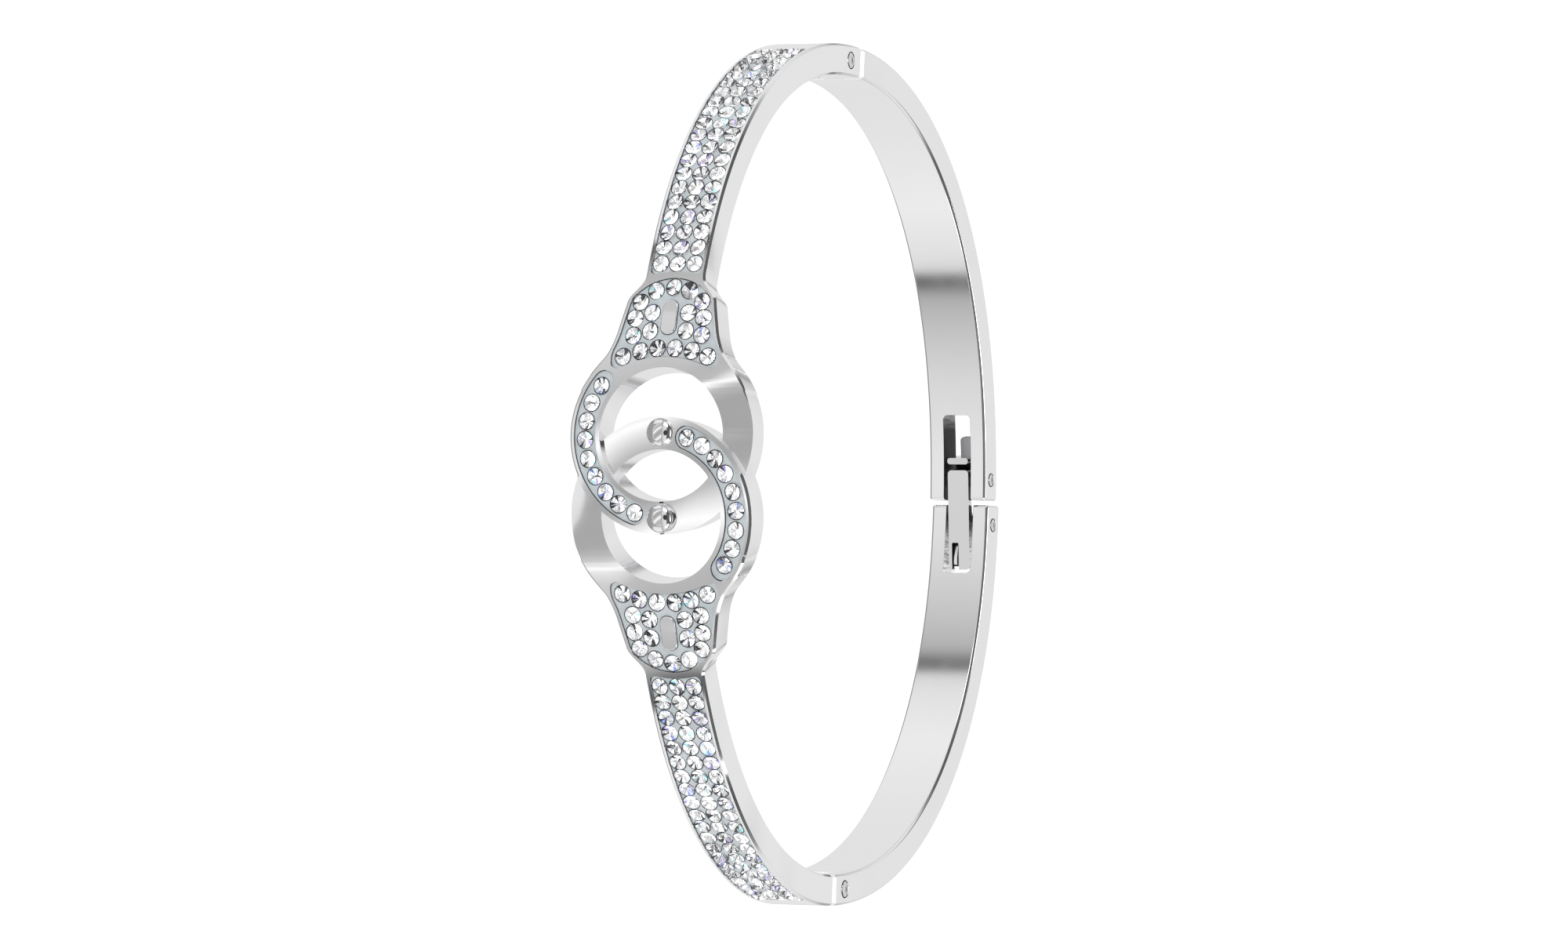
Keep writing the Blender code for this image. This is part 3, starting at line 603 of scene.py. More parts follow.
polished = steel("polished_steel", (0.90, 0.90, 0.91), 0.07, 0.03, 1800.0, wave=WAVE_HEIGHT)


def ring_half_width(along):
    return sqrt(max(RING_OUTER**2 - (abs(along) - RING_OFFSET) ** 2, 0))


def half_width(along):
    """Half the width of the front at a distance from its middle."""
    along = abs(along)
    if along >= SHOULDER_END:
        return BAND_WIDTH / 2
    ring = ring_half_width(along)
    if along < RING_ALONE:
        return ring
    taper = min(max((along - LOCK_START) / (LOCK_END - LOCK_START), 0), 1)
    lock = LOCK_START_HALF_WIDTH + (LOCK_END_HALF_WIDTH - LOCK_START_HALF_WIDTH) * taper
    body = (ring + lock + hypot(ring - lock, LOCK_BLEND)) / 2
    fall = min(max((along - LOCK_END) / (SHOULDER_END - LOCK_END), 0), 1)
    fall = fall * fall * (3 - 2 * fall)
    return body + (BAND_WIDTH / 2 - body) * fall


def front_outline():
    """The whole front: band, shoulders, lock bodies and rings."""
    ring = [x for x, z in arc((RING_OFFSET, 0), RING_OUTER, 0, pi) if 0 < x < RING_ALONE]
    right = sorted(ring) + list(np.linspace(RING_ALONE, SHOULDER_END, 36))
    places = [-x for x in reversed(right)] + [0] + right
    ends = (LEFT_PIN - CHEEK_END, RIGHT_PIN - SHOULDER)
    upper = [(x, half_width(x)) for x in [ends[0]] + places + [ends[1]]]
    return upper + [(x, -w) for x, w in reversed(upper)]


def crossing(radius_here, radius_there):
    """Where a circle on this ring's centre meets one on the other ring's."""
    along = (radius_there**2 - radius_here**2) / (4 * RING_OFFSET)
    return along, sqrt(radius_here**2 - (along - RING_OFFSET) ** 2)


def angle_at(point, centre_along):
    return math.atan2(point[1], point[0] - centre_along)


def outer_opening():
    """The D between the right ring's inner edge and the left ring's outer edge."""
    corner = crossing(RING_INNER, RING_OUTER)
    here, there = angle_at(corner, RING_OFFSET), angle_at(corner, -RING_OFFSET)
    ring = arc((RING_OFFSET, 0), RING_INNER, -here, here)
    return ring + arc((-RING_OFFSET, 0), RING_OUTER, there, -there)[1:-1]


def lens_opening():
    """The lens inside both rings."""
    corner = crossing(RING_INNER, RING_INNER)
    here = angle_at(corner, -RING_OFFSET)
    right = arc((-RING_OFFSET, 0), RING_INNER, -here, here)
    left = arc((RING_OFFSET, 0), RING_INNER, pi - here, pi + here)
    return right + left[1:-1]


def plain_outer(side):
    """The cut over a ring's plain half outside the other ring: it sinks gently from the lock body."""
    start = RING_OFFSET + RING_OUTER * cos(PLAIN_END)
    line = [(start, -PAST)]
    for k in range(RAMP_STEPS + 1):
        share = k / RAMP_STEPS
        depth = PLAIN_DROP * share * share * (3 - 2 * share) - MM / 200
        line.append((start - RAMP_LENGTH * share, depth))
    line += [(-RING_OUTER, line[-1][1]), (-RING_OUTER, -PAST)]
    ends = sorted((0, -side * (RING_OUTER + PAST)))
    ramp_cut = prism([(side * x, depth) for x, depth in line], *ends, axis=2)
    ledge = arc((-RING_OFFSET, 0), RING_OUTER + RING_LEDGE, 0, 2 * pi)[:-1]
    return shaped(ramp_cut, cutters=[prism(turned(ledge, side), -2 * PAST, THROUGH)])


def plain_inner():
    """The right ring's plain half inside the left ring, from that ring to the stud."""
    inner, outer = RING_INNER - PAST / 2, RING_OUTER + PAST / 2
    edge = RING_INNER - RING_LEDGE
    near, far = crossing(inner, edge), crossing(outer, edge)
    points = arc((RING_OFFSET, 0), outer, -pi, -angle_at(far, RING_OFFSET))
    there = (-angle_at(far, -RING_OFFSET), -angle_at(near, -RING_OFFSET))
    points += arc((-RING_OFFSET, 0), edge, *there)[1:-1]
    return points + arc((RING_OFFSET, 0), inner, -angle_at(near, RING_OFFSET), -pi)


def strip_outline(inset=0.0):
    """The long field of three rows, its near end hollowed by the lock body's crown."""
    half = BAND_WIDTH / 2 - POCKET_RIM - inset
    corner = POCKET_CORNER
    spread = math.asin((half - corner) / STRIP_HOLLOW)
    centre = STRIP_START + inset - STRIP_HOLLOW
    near = arc((centre, 0), STRIP_HOLLOW, spread, -spread)
    box = rounded_box(near[-1][0], STRIP_END - inset, half, corner)
    middle = len(box) // 2
    return box[:middle] + near[1:-1] + box[middle:]


def cuff_outline(inset=0.0):
    """The channel in the right ring, towards +Z, from the lock body to the stud."""
    half = RING_MIDDLE - RING_INNER - POCKET_RIM - inset
    last = CUFF_FIRST + (CUFF_STONES - 1) * CUFF_PITCH
    start = CUFF_FIRST - CUFF_PITCH / 4
    points = arc((RING_OFFSET, 0), RING_MIDDLE + half, start, last)
    for angle, begin in ((last, last), (start, start + pi)):
        spot = (RING_OFFSET + RING_MIDDLE * cos(angle), RING_MIDDLE * sin(angle))
        points += arc(spot, half, begin, begin + pi)[1:-1]
        if angle == last:
            points += arc((RING_OFFSET, 0), RING_MIDDLE - half, last, start)
    return points


def lock_outline(inset=0.0):
    """The field of the right lock body: arched towards the band, hollow towards the ring."""
    spread = LOCK_HOLLOW_SPREAD
    centre = LOCK_HOLLOW - LOCK_HOLLOW_RADIUS
    hollow = arc((centre, 0), LOCK_HOLLOW_RADIUS + inset, spread, -spread)
    reach = LOCK_HOLLOW_RADIUS + LOCK_CORNER
    corner = (centre + reach * cos(spread), reach * sin(spread))
    upper = arc(corner, LOCK_CORNER - inset, pi / 2, pi + spread)[:-1]
    widest = upper[0][1]
    spread = LOCK_CROWN_SPREAD
    radius = LOCK_CROWN_RADIUS + STONE_RADIUS + STONE_MARGIN - inset
    crown = arc((LOCK_CROWN - LOCK_CROWN_RADIUS, 0), radius, -spread, spread)
    steps = np.linspace(crown[-1][0], upper[0][0], 12)[1:-1]
    side = [(x, min(half_width(x) - POCKET_RIM - inset, widest)) for x in steps]
    upper = side + upper
    return hollow + [(x, -z) for x, z in reversed(upper)] + crown + upper


def tongue(pin_along):
    """The hinge tongue: a round-ended bar between the cheeks, drawn from the side."""
    radius = BAND_THICKNESS / 2 - TONGUE_SKIN
    centre = (pin_along, BAND_THICKNESS / 2)
    root = pin_along - SHOULDER - TONGUE_ROOT
    shape = arc(centre, radius, pi / 2, -pi / 2)
    shape += [(root, centre[1] - radius), (root, centre[1] + radius)]
    return prism(shape, -TONGUE_WIDTH / 2, TONGUE_WIDTH / 2, axis=2)


def fork_room(pin_along):
    """The room between the cheeks, open towards the joint."""
    low = pin_along - CHEEK_END - PAST
    high = pin_along + BAND_THICKNESS / 2 - TONGUE_SKIN + TONGUE_END_GAP
    half = TONGUE_WIDTH / 2 + TONGUE_SIDE_GAP
    return prism([(low, -half), (high, -half), (high, half), (low, half)], -PAST, THROUGH)


def bore(pin_along, radius):
    """The hole across the band for a pin."""
    circle = arc((pin_along, BAND_THICKNESS / 2), radius, 0, 2 * pi)[:-1]
    return prism(circle, -BAND_WIDTH, BAND_WIDTH, axis=2)


def satin_ends(mesh, number):
    """The facing ends at the hinges take this finish."""
    for face in mesh.faces:
        along = face.calc_center_median().x
        nearest = min(abs(along - LEFT_PIN), abs(along - RIGHT_PIN))
        if abs(face.normal.x) > 0.9 and nearest < SHOULDER + MM / 50:
            face.material_index = number
    return mesh


# Pale satin, where no wheel reaches; it glows a little, painted light
satin = mottled(
    "satin_joint_painted_glow", {"Scale": 1600.0, "Detail": 2.0}, [(0.3, 0.72), (0.7, 0.9)], SATIN_PAINTED_GLOW,
    Metallic=0.2, Roughness=0.6,
)
cutters = [prism(lens_opening(), -PAST, THROUGH)]
for side in (-1, 1):
    cutters.append(prism(turned(outer_opening(), side), -PAST, THROUGH))
    cutters.append(plain_outer(side))
    cutters.append(prism(turned(plain_inner(), side), -PAST, PLAIN_DROP))
    for outline in (strip_outline(), lock_outline(), cuff_outline()):
        cutters.append(prism(turned(outline, side), -PAST, POCKET_DEPTH))
cutters.append(fork_room(LEFT_PIN))
cutters.append(bore(LEFT_PIN, HINGE_PIN_RADIUS))
cutters.append(bore(RIGHT_PIN, HINGE_PIN_RADIUS))
casting = shaped(
    prism(front_outline(), 0, BAND_THICKNESS, chamfer=EDGE_CHAMFER), [tongue(RIGHT_PIN)], cutters
)
# The pockets' hidden floor edges stay sharp
soften(casting, EDGE_ROUND, chosen=lambda e: any(abs(v.co.y - POCKET_DEPTH) > HAIR for v in e.verts))
finished(
    "front_casting", satin_ends(sliced(casting), 1), left_oval.bend, [polished, satin], "front",
    ["front_frame"],
)


# -------- rear arms
# Two plain curved bars of the same steel, with broken edges. Each has a tongue or a fork at its hinge
# and a slot for the clasp at its free end, milled rough inside, its walls painted darker towards the
# deep end (painted shade) and glowing a little (painted light).

LEFT_END_PAST = 2.12 * MM
CLASP_GAP = 0.39 * MM
SLOT_WIDTH = 2.2 * MM
LEFT_SLOT_LENGTH = 6.8 * MM
RIGHT_SLOT_LENGTH = 5.55 * MM
SLOT_CORNER = 0.35 * MM
END_CORNER = 0.22 * MM
CLASP_PIN_RADIUS = 0.53 * MM
CATCH_PIN_BACK = 1.6 * MM
PIVOT_PIN_BACK = 1.55 * MM
SLACK = 0.02 * MM
WALL = 0.5  # a face with less of its normal than this along an axis stands across it
SLOT_SHADE_FULL = 3.3 * MM
SLOT_SHADE_GONE = 5.8 * MM
MILLED_PAINTED_GLOW = 0.35
LEFT_ARM_END = -left_oval.half - LEFT_END_PAST
RIGHT_ARM_END = right_oval.half - LEFT_END_PAST - CLASP_GAP


def arm_blank(hinge_end, clasp_end):
    """The bar, its corners rounded at the clasp end."""
    half = BAND_WIDTH / 2
    toward = 1 if hinge_end > clasp_end else -1
    quarter = pi / 2
    corner = END_CORNER
    near = arc((clasp_end + corner, half - corner), corner, quarter, 2 * quarter)
    near += arc((clasp_end + corner, corner - half), corner, 2 * quarter, 3 * quarter)
    if toward < 0:
        near = [(2 * clasp_end - x, z) for x, z in near]
    outline = near + [(hinge_end, -half), (hinge_end, half)]
    return prism(outline, 0, BAND_THICKNESS, chamfer=EDGE_CHAMFER)


def clasp_slot(clasp_end, length, toward):
    """The cut for the clasp's slot, open at the bar's free end."""
    ends = sorted((clasp_end - toward * PAST, clasp_end + toward * length))
    return prism(rounded_box(*ends, SLOT_WIDTH / 2, SLOT_CORNER), -PAST, THROUGH)


def milled(mesh, clasp_end, length, toward):
    """The walls of the clasp's slot take the second finish."""
    for face in mesh.faces:
        middle = face.calc_center_median()
        reach = toward * (middle.x - clasp_end)
        inside = abs(middle.z) < SLOT_WIDTH / 2 + SLACK and SLACK < reach < length + SLACK
        face.material_index = 1 if inside and abs(face.normal.y) < WALL else 0
    return mesh


def milled_and_shaded_finish():
    """Rough cutter marks across the wall, painted ever darker towards the deep end by the clasp as
    painted shade, with a faint glow that is painted light.
    """
    made, wire, add, sockets = painted(
        "milled_steel_and_shade", Metallic=0.3, Roughness=0.5, Emission_Strength=MILLED_PAINTED_GLOW
    )
    marks = speckle(wire, add, (1, 0.15, 1), Scale=5200.0, Detail=3.0)
    place = add("ShaderNodeTexCoord")
    split = add("ShaderNodeSeparateXYZ")
    wire(place.outputs["Object"], split.inputs[0])
    away = add("ShaderNodeMath", operation="ABSOLUTE")
    wire(split.outputs["X"], away.inputs[0])
    share = add("ShaderNodeMapRange", **{"From Min": SLOT_SHADE_FULL, "From Max": SLOT_SHADE_GONE})
    wire(away.outputs[0], share.inputs["Value"])
    # Painted shade: near-black at the slot's deep end, fading out further along
    deep = toned(wire, add, share.outputs["Result"], (0.0, 0.008), (0.3, 0.22), (1.0, 0.95))
    both = add("ShaderNodeMix", data_type="RGBA", blend_type="MULTIPLY")
    both.inputs["Factor"].default_value = 1.0
    wire(deep, both.inputs["A"])
    wire(toned(wire, add, marks, (0.35, 0.4), (0.6, 1.0)), both.inputs["B"])
    wire(both.outputs["Result"], sockets["Base Color"])
    wire(both.outputs["Result"], sockets["Emission Color"])
    uneven(wire, add, sockets, marks, 0.6, 0.03 * MM)
    return made


arm_steel = steel("arm_steel", (0.90, 0.90, 0.91), 0.13, 0.02, 1800.0)
milled_steel_and_shade = milled_and_shaded_finish()


def rear_arm(name, oval, bar, slot):
    """The shaped bar, finished; its slot is (free end, length, direction)."""
    bar = satin_ends(milled(sliced(soften(bar, EDGE_ROUND)), *slot), 2)
    finished(
        name + "_bar", bar, oval.bend, [arm_steel, milled_steel_and_shade, satin], "arm_" + name,
        ["arm_" + name],
    )


left_slot = (LEFT_ARM_END, LEFT_SLOT_LENGTH, 1)
left_bar = shaped(
    arm_blank(LEFT_PIN - SHOULDER, LEFT_ARM_END),
    [tongue(LEFT_PIN)],
    [
        clasp_slot(*left_slot),
        bore(LEFT_PIN, HINGE_PIN_RADIUS),
        bore(LEFT_ARM_END + CATCH_PIN_BACK, CLASP_PIN_RADIUS),
    ],
)
rear_arm("left", left_oval, left_bar, left_slot)
right_slot = (RIGHT_ARM_END, RIGHT_SLOT_LENGTH, -1)
right_bar = shaped(
    arm_blank(RIGHT_PIN - CHEEK_END, RIGHT_ARM_END),
    cutters=[
        fork_room(RIGHT_PIN),
        clasp_slot(*right_slot),
        bore(RIGHT_PIN, HINGE_PIN_RADIUS),
        bore(RIGHT_ARM_END - PIVOT_PIN_BACK, CLASP_PIN_RADIUS),
    ],
)
rear_arm("right", right_oval, right_bar, right_slot)


# -------- pins
# Four short steel rods, pressed through the ears and ground off, with a slightly domed, dimpled head.
# The narrow bevel round each head is near-black: painted shade.

PIN_DOME = 0.015 * MM
PIN_EDGE = 0.08 * MM
DIMPLE_RIM = 0.55
DIMPLE_FLOOR = 0.45
pin_steel = steel("pin_steel", (0.74, 0.74, 0.75), 0.16, 0.08, 2600.0)
# Near-black steel: painted shade in grooves, gaps and corners
painted_shade_steel = mottled(
    "painted_shade_recess", {"Scale": 2400.0}, [(0.3, 0.004), (0.8, 0.03)], Metallic=0.5, Roughness=0.6
)


def lathe(profile, axis, steps):
    """A closed solid turned round this axis from a line of points that starts and ends on it."""
    mesh = bmesh.new()
    line = [mesh.verts.new(spot) for spot in profile]
    edges = [mesh.edges.new(pair) for pair in zip(line, line[1:])]
    bmesh.ops.spin(
        mesh, geom=line + edges, cent=(0, 0, 0), axis=axis, angle=2 * pi, steps=steps,
        use_merge=True,
    )
    bmesh.ops.remove_doubles(mesh, verts=mesh.verts, dist=MM / 1000)
    bmesh.ops.recalc_face_normals(mesh, faces=mesh.faces)
    return mesh


def pin(node, body):
    """A rod with a broken edge and a shallow dimple in each end, where its node is."""
    low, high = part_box(node)
    middle = (low + high) / 2
    radius = (high.x - low.x) / 2
    half = (high.z - low.z) / 2
    profile = [(radius, half - PIN_EDGE), (radius - PIN_EDGE, half), (radius * DIMPLE_RIM, half)]
    profile += [(radius * DIMPLE_FLOOR, half - PIN_DOME), (0, half - PIN_DOME * 1.4)]
    profile = [(r, -z) for r, z in reversed(profile)] + [(radius, 0)] + profile
    mesh = lathe([(r, 0, z) for r, z in profile], (0, 0, 1), 40)
    bmesh.ops.translate(mesh, verts=mesh.verts, vec=middle)
    for face in mesh.faces:
        outer = hypot(*(face.calc_center_median() - middle).xy) > radius * 0.8
        # Painted shade: the bevel round each head takes the near-black steel
        face.material_index = 1 if outer and 0.1 < abs(face.normal.z) < 0.95 else 0
    finished(
        node + "_rod", mesh, lambda spots, shades: (spots, shades), [pin_steel, painted_shade_steel], body,
        [node],
    )


for node, body in (
    ("hinge_left_pin", "front"),
    ("hinge_right_pin", "arm_right"),
    ("catch_pin", "arm_left"),
    ("link_pivot_pin", "arm_right"),
):
    pin(node, body)


# -------- clasp link
# A stamped and folded steel link. It turns on the right arm's pin, lies along the wrist side, folds up
# round the left arm's pin and ends in a tab. Its tail has a notch for the leaf spring.

LINK_WIDTH = 1.7 * MM
LINK_SHEET = 0.38 * MM
LINK_BOSS_RADIUS = 0.95 * MM
LINK_TAIL = 3.25 * MM
LINK_TAIL_LEVEL = 1.45 * MM
LINK_HOOK_WALL = 0.3 * MM
LINK_FOLD = 0.46 * MM
LINK_BAR = 0.48 * MM
LINK_TAB = 1.45 * MM
LINK_TAB_LEVEL = 1.0 * MM
LINK_TAB_SHARE = 0.72
LINK_CORNER = 0.3 * MM
LINK_ROUND = 0.06 * MM
NOTCH_WIDTH = 0.55 * MM
NOTCH_SIDE = 0.32 * MM
NOTCH_START = 1.2 * MM
NOTCH_END = 3.0 * MM
GAP_SKIN = 0.12 * MM
PIN_GAP = 0.03 * MM


pivot, catch = (sum(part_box(node), Vector()) / 2 for node in ("link_pivot_pin", "catch_pin"))
span = (catch - pivot).length
forward = (catch - pivot).normalized()
outward = Vector((-forward.y, forward.x, 0))
outward = outward if outward.y > 0 else -outward


def link_bend(places, normals):
    """From (forward, outward, sideways) at the pivot to the frame."""
    axes = np.array([forward, outward, forward.cross(outward)])
    return places @ axes + np.array(pivot), normals @ axes


hook = span + CLASP_PIN_RADIUS + PIN_GAP
under = -(CLASP_PIN_RADIUS + PIN_GAP)
inner = under - LINK_SHEET
fold = hook + LINK_HOOK_WALL
bar = fold + LINK_FOLD
tab = bar + LINK_BAR
bridge = LINK_TAB_LEVEL - LINK_SHEET
boss = arc((0, 0), LINK_BOSS_RADIUS, radians(-35), radians(215))
profile = [(-LINK_TAIL, -LINK_TAIL_LEVEL), (fold, inner), (fold, bridge), (bar, bridge)]
profile += [(bar, inner), (tab, inner), (tab, bridge), (tab + LINK_TAB, bridge)]
profile += [(tab + LINK_TAB, LINK_TAB_LEVEL), (hook, LINK_TAB_LEVEL), (hook, under)]
profile += boss + [(-LINK_TAIL, LINK_SHEET - LINK_TAIL_LEVEL)]
half = LINK_WIDTH / 2
plan_plate = rounded_box(-LINK_TAIL, fold, half, LINK_CORNER)
plan_bar = rounded_box(bar, tab, half, LINK_BAR * 0.45)
plan_tab = rounded_box(hook, tab + LINK_TAB, half * LINK_TAB_SHARE, LINK_CORNER)
plan_tab = [(x, z - half * (1 - LINK_TAB_SHARE)) for x, z in plan_tab]
plan_bridge = rounded_box(fold - LINK_CORNER, bar + LINK_BAR / 2, half, LINK_BAR * 0.2)
deep = 3 * MM
notch = rounded_box(-NOTCH_END - PAST, -NOTCH_START, NOTCH_WIDTH / 2, NOTCH_WIDTH * 0.2)
notch = [(x, z + NOTCH_SIDE) for x, z in notch]
eye = arc((0, 0), CLASP_PIN_RADIUS + PIN_GAP, 0, 2 * pi)[:-1]
plan = [prism(plan_bar, -deep, deep)]
plan += [prism(outline, bridge - PIN_GAP, deep) for outline in (plan_tab, plan_bridge)]
link = shaped(
    prism(profile, -half, half, axis=2),
    cutters=[prism(eye, -deep, deep, axis=2), prism(notch, -deep, -LINK_BOSS_RADIUS / 2)],
    kept=[shaped(prism(plan_plate, -deep, deep), plan)],
)
link_steel = steel("brushed_link", (0.78, 0.78, 0.79), 0.2, 0.35, 1500.0, (0.1, 1, 1))
# Painted shade: the tab takes a darker copy of the link's steel
tab_shaded_steel = steel("tab_shaded_steel", (0.42, 0.42, 0.44), 0.3, 0.5, 1800.0, (0.1, 1, 1))
soften(link, LINK_ROUND, 3)
# Painted shade: near-black faces in the fold's gap, on the notch's walls and on the tab's ends
for face in link.faces:
    middle = face.calc_center_median()
    in_fold = fold - SLACK < middle.x < bar + SLACK
    in_notch = abs(middle.z - NOTCH_SIDE) < NOTCH_WIDTH / 2 + SLACK and middle.x < SLACK - NOTCH_START
    in_notch = in_notch and abs(face.normal.y) < WALL
    if in_fold and middle.y > inner + GAP_SKIN or in_notch and not in_fold:
        face.material_index = 1
    elif middle.x > tab + SLACK:
        face.material_index = 2 if abs(face.normal.x) < WALL else 1
finished(
    "link", link, link_bend, [link_steel, painted_shade_steel, tab_shaded_steel], "clasp_link",
    ["clasp_link"],
)


# -------- leaf spring
# A thin strip of spring steel that rises from under the link's tail into its notch and presses the
# clasp shut. It rests on a small near-black plate behind the notch that stands for the shade there:
# painted shade.

LEAF_THICKNESS = 0.12 * MM
LEAF_RISE = 0.5 * MM
LEAF_INSET = 0.1 * MM
LEAF_GAP = 0.2 * MM
LEAF_STEPS = 16
LEAF_WIDTH_SHARE = 0.6
LEAF_SIDE_SHARE = 0.14
SHADE_PLATE_OVERLAP = 0.2
leaf_level = -LINK_TAIL_LEVEL + LINK_SHEET + LEAF_THICKNESS + LEAF_GAP
leaf_start, leaf_end = LEAF_INSET - NOTCH_START, LEAF_INSET - NOTCH_END
leaf_line = []
for k in range(LEAF_STEPS + 1):
    share = k / LEAF_STEPS
    rise = LEAF_RISE * sin(share * pi / 2)
    leaf_line.append((leaf_start + (leaf_end - leaf_start) * share, leaf_level - rise))
leaf_back = [(u, v + LEAF_THICKNESS) for u, v in reversed(leaf_line)]
leaf_half = NOTCH_WIDTH * LEAF_WIDTH_SHARE / 2
leaf_side = NOTCH_SIDE + NOTCH_WIDTH * LEAF_SIDE_SHARE
leaf = prism(leaf_line + leaf_back, leaf_side - leaf_half, leaf_side + leaf_half, axis=2)
soften(leaf, LEAF_THICKNESS * 0.3)
low = leaf_level + LEAF_THICKNESS * (1 - SHADE_PLATE_OVERLAP)
high = low + LEAF_THICKNESS
start, end = LEAF_INSET - NOTCH_START, -NOTCH_END - LEAF_INSET
shade_plate = prism(
    [(start, low), (end, low), (end, high), (start, high)], NOTCH_SIDE - NOTCH_WIDTH,
    NOTCH_SIDE + NOTCH_WIDTH, axis=2,
)
# Painted shade: the plate is near-black
for face in shade_plate.faces:
    face.material_index = 1
leaf.from_mesh(settled("shade_plate", shade_plate))
leaf_steel = steel("spring_steel", (0.85, 0.85, 0.86), 0.16, 0.1, 1500.0)
finished("leaf", leaf, link_bend, [leaf_steel, painted_shade_steel], "clasp_link", ["link_spring"])


# -------- keyholes
# A raised oval island of the casting in the middle of each lock body, in the shape of a keyhole's
# cover, its edge rounded over by polishing.

KEYHOLE_ALONG = RING_REACH + 1.3 * MM
KEYHOLE_HALF_LENGTH = 1.25 * MM
KEYHOLE_HALF_WIDTH = 0.6 * MM
KEYHOLE_ROUND = 0.09 * MM
KEYHOLE_FOOT = 0.05 * MM


def keyhole_outline(grow=0.0):
    long, wide = KEYHOLE_HALF_LENGTH + grow, KEYHOLE_HALF_WIDTH + grow
    return rounded_box(KEYHOLE_ALONG - long, KEYHOLE_ALONG + long, wide, wide * 0.9)


for side, name in ((-1, "left"), (1, "right")):
    island = prism(turned(keyhole_outline(), side), 0, POCKET_DEPTH + KEYHOLE_FOOT)
    soften(island, KEYHOLE_ROUND, 4, lambda e: max(v.co.y for v in e.verts) < POCKET_DEPTH)
    finished(
        "keyhole_" + name, sliced(island), left_oval.bend, [polished], "front"
    )


# -------- studs
# A domed steel rivet at the end of each set half ring, turned on a lathe with a fine collar round its
# foot and pressed into its seat.

STUD_ALONG = RING_MIDDLE - RING_OFFSET
STUD_RADIUS = 1.05 * MM
STUD_HEIGHT = 0.55 * MM
STUD_SEAT = 0.39 * MM
STUD_COLLAR = 0.1 * MM
COLLAR_LIP = 0.02 * MM
DOME_STEPS = 12

for side, name in ((-1, "stud_left"), (1, "stud_right")):
    dome = STUD_RADIUS - STUD_COLLAR * 0.5
    profile = [(0, STUD_SEAT), (STUD_RADIUS, STUD_SEAT), (STUD_RADIUS, COLLAR_LIP)]
    profile += [(STUD_RADIUS - 1.5 * COLLAR_LIP, -COLLAR_LIP), (dome + COLLAR_LIP / 2, -COLLAR_LIP)]
    profile += [(dome - COLLAR_LIP, COLLAR_LIP)]
    for k in range(1, DOME_STEPS):
        turn = k * pi / 2 / DOME_STEPS
        profile.append((dome * cos(turn), -STUD_HEIGHT * sin(turn)))
    profile.append((0, -STUD_HEIGHT))
    mesh = lathe([(r, depth, 0) for r, depth in profile], (0, 1, 0), 64)
    bmesh.ops.translate(mesh, verts=mesh.verts, vec=(side * STUD_ALONG, 0, 0))
    finished(name + "_rivet", mesh, left_oval.bend, [polished], "front", [name])


# -------- clay
# Pale two-part setting clay, pressed into the pockets and wiped just below the rims, with a hole
# where each crystal was pushed in.

CLAY_TOP = 0.13 * MM
CLAY_GAP = 0.04 * MM
HOLE_RADIUS = 0.65 * MM
HOLE_SIDES = 20
SCATTER = 0.02 * MM
STRIP_COLUMN = 1.33 * MM
LOCK_ARC_PITCH = radians(8.7)
LOCK_CROWN_PITCH = radians(24.5)
LOCK_SIDE_FIRST = RING_REACH + 1.25 * MM
LOCK_SIDE_PITCH = 1.27 * MM
LOCK_SIDE_HALF_WIDTH = 2.68 * MM
LOCK_INNER_FIRST = RING_REACH + 1.65 * MM
LOCK_INNER_PITCH = 1.35 * MM
LOCK_INNER_HALF_WIDTH = 1.4 * MM


def strip_stones():
    rows = [STRIP_FIRST + k * STRIP_PITCH for k in range(STRIP_ROWS)]
    return [(x, column * STRIP_COLUMN) for x in rows for column in (-1, 0, 1)]


def cuff_stones():
    turns = [CUFF_FIRST + k * CUFF_PITCH for k in range(CUFF_STONES)]
    return [(RING_OFFSET + RING_MIDDLE * cos(t), RING_MIDDLE * sin(t)) for t in turns]


def lock_stones():
    centre = LOCK_HOLLOW - LOCK_HOLLOW_RADIUS
    reach = LOCK_HOLLOW_RADIUS + STONE_RADIUS + STONE_MARGIN
    turns = [(k - 2.5) * LOCK_ARC_PITCH for k in range(6)]
    places = [(centre + reach * cos(t), reach * sin(t)) for t in turns]
    crown = LOCK_CROWN - LOCK_CROWN_RADIUS
    reach = LOCK_CROWN_RADIUS
    turns = [k * LOCK_CROWN_PITCH for k in range(-2, 3)]
    places += [(crown + reach * cos(t), reach * sin(t)) for t in turns]
    for side in (-1, 1):
        for k in (0, 1):
            places.append((LOCK_SIDE_FIRST - k * LOCK_SIDE_PITCH, side * LOCK_SIDE_HALF_WIDTH))
            places.append((LOCK_INNER_FIRST - k * LOCK_INNER_PITCH, side * LOCK_INNER_HALF_WIDTH))
    return places


def holes(places):
    """All the crystals' holes as one mesh of upright rods."""
    mesh = bmesh.new()
    upright = Matrix.Rotation(pi / 2, 4, "X")
    for along, across in places:
        bmesh.ops.create_cone(
            mesh, cap_ends=True, segments=HOLE_SIDES, radius1=HOLE_RADIUS, radius2=HOLE_RADIUS,
            depth=4 * MM, matrix=Matrix.Translation((along, 0, across)) @ upright,
        )
    return mesh


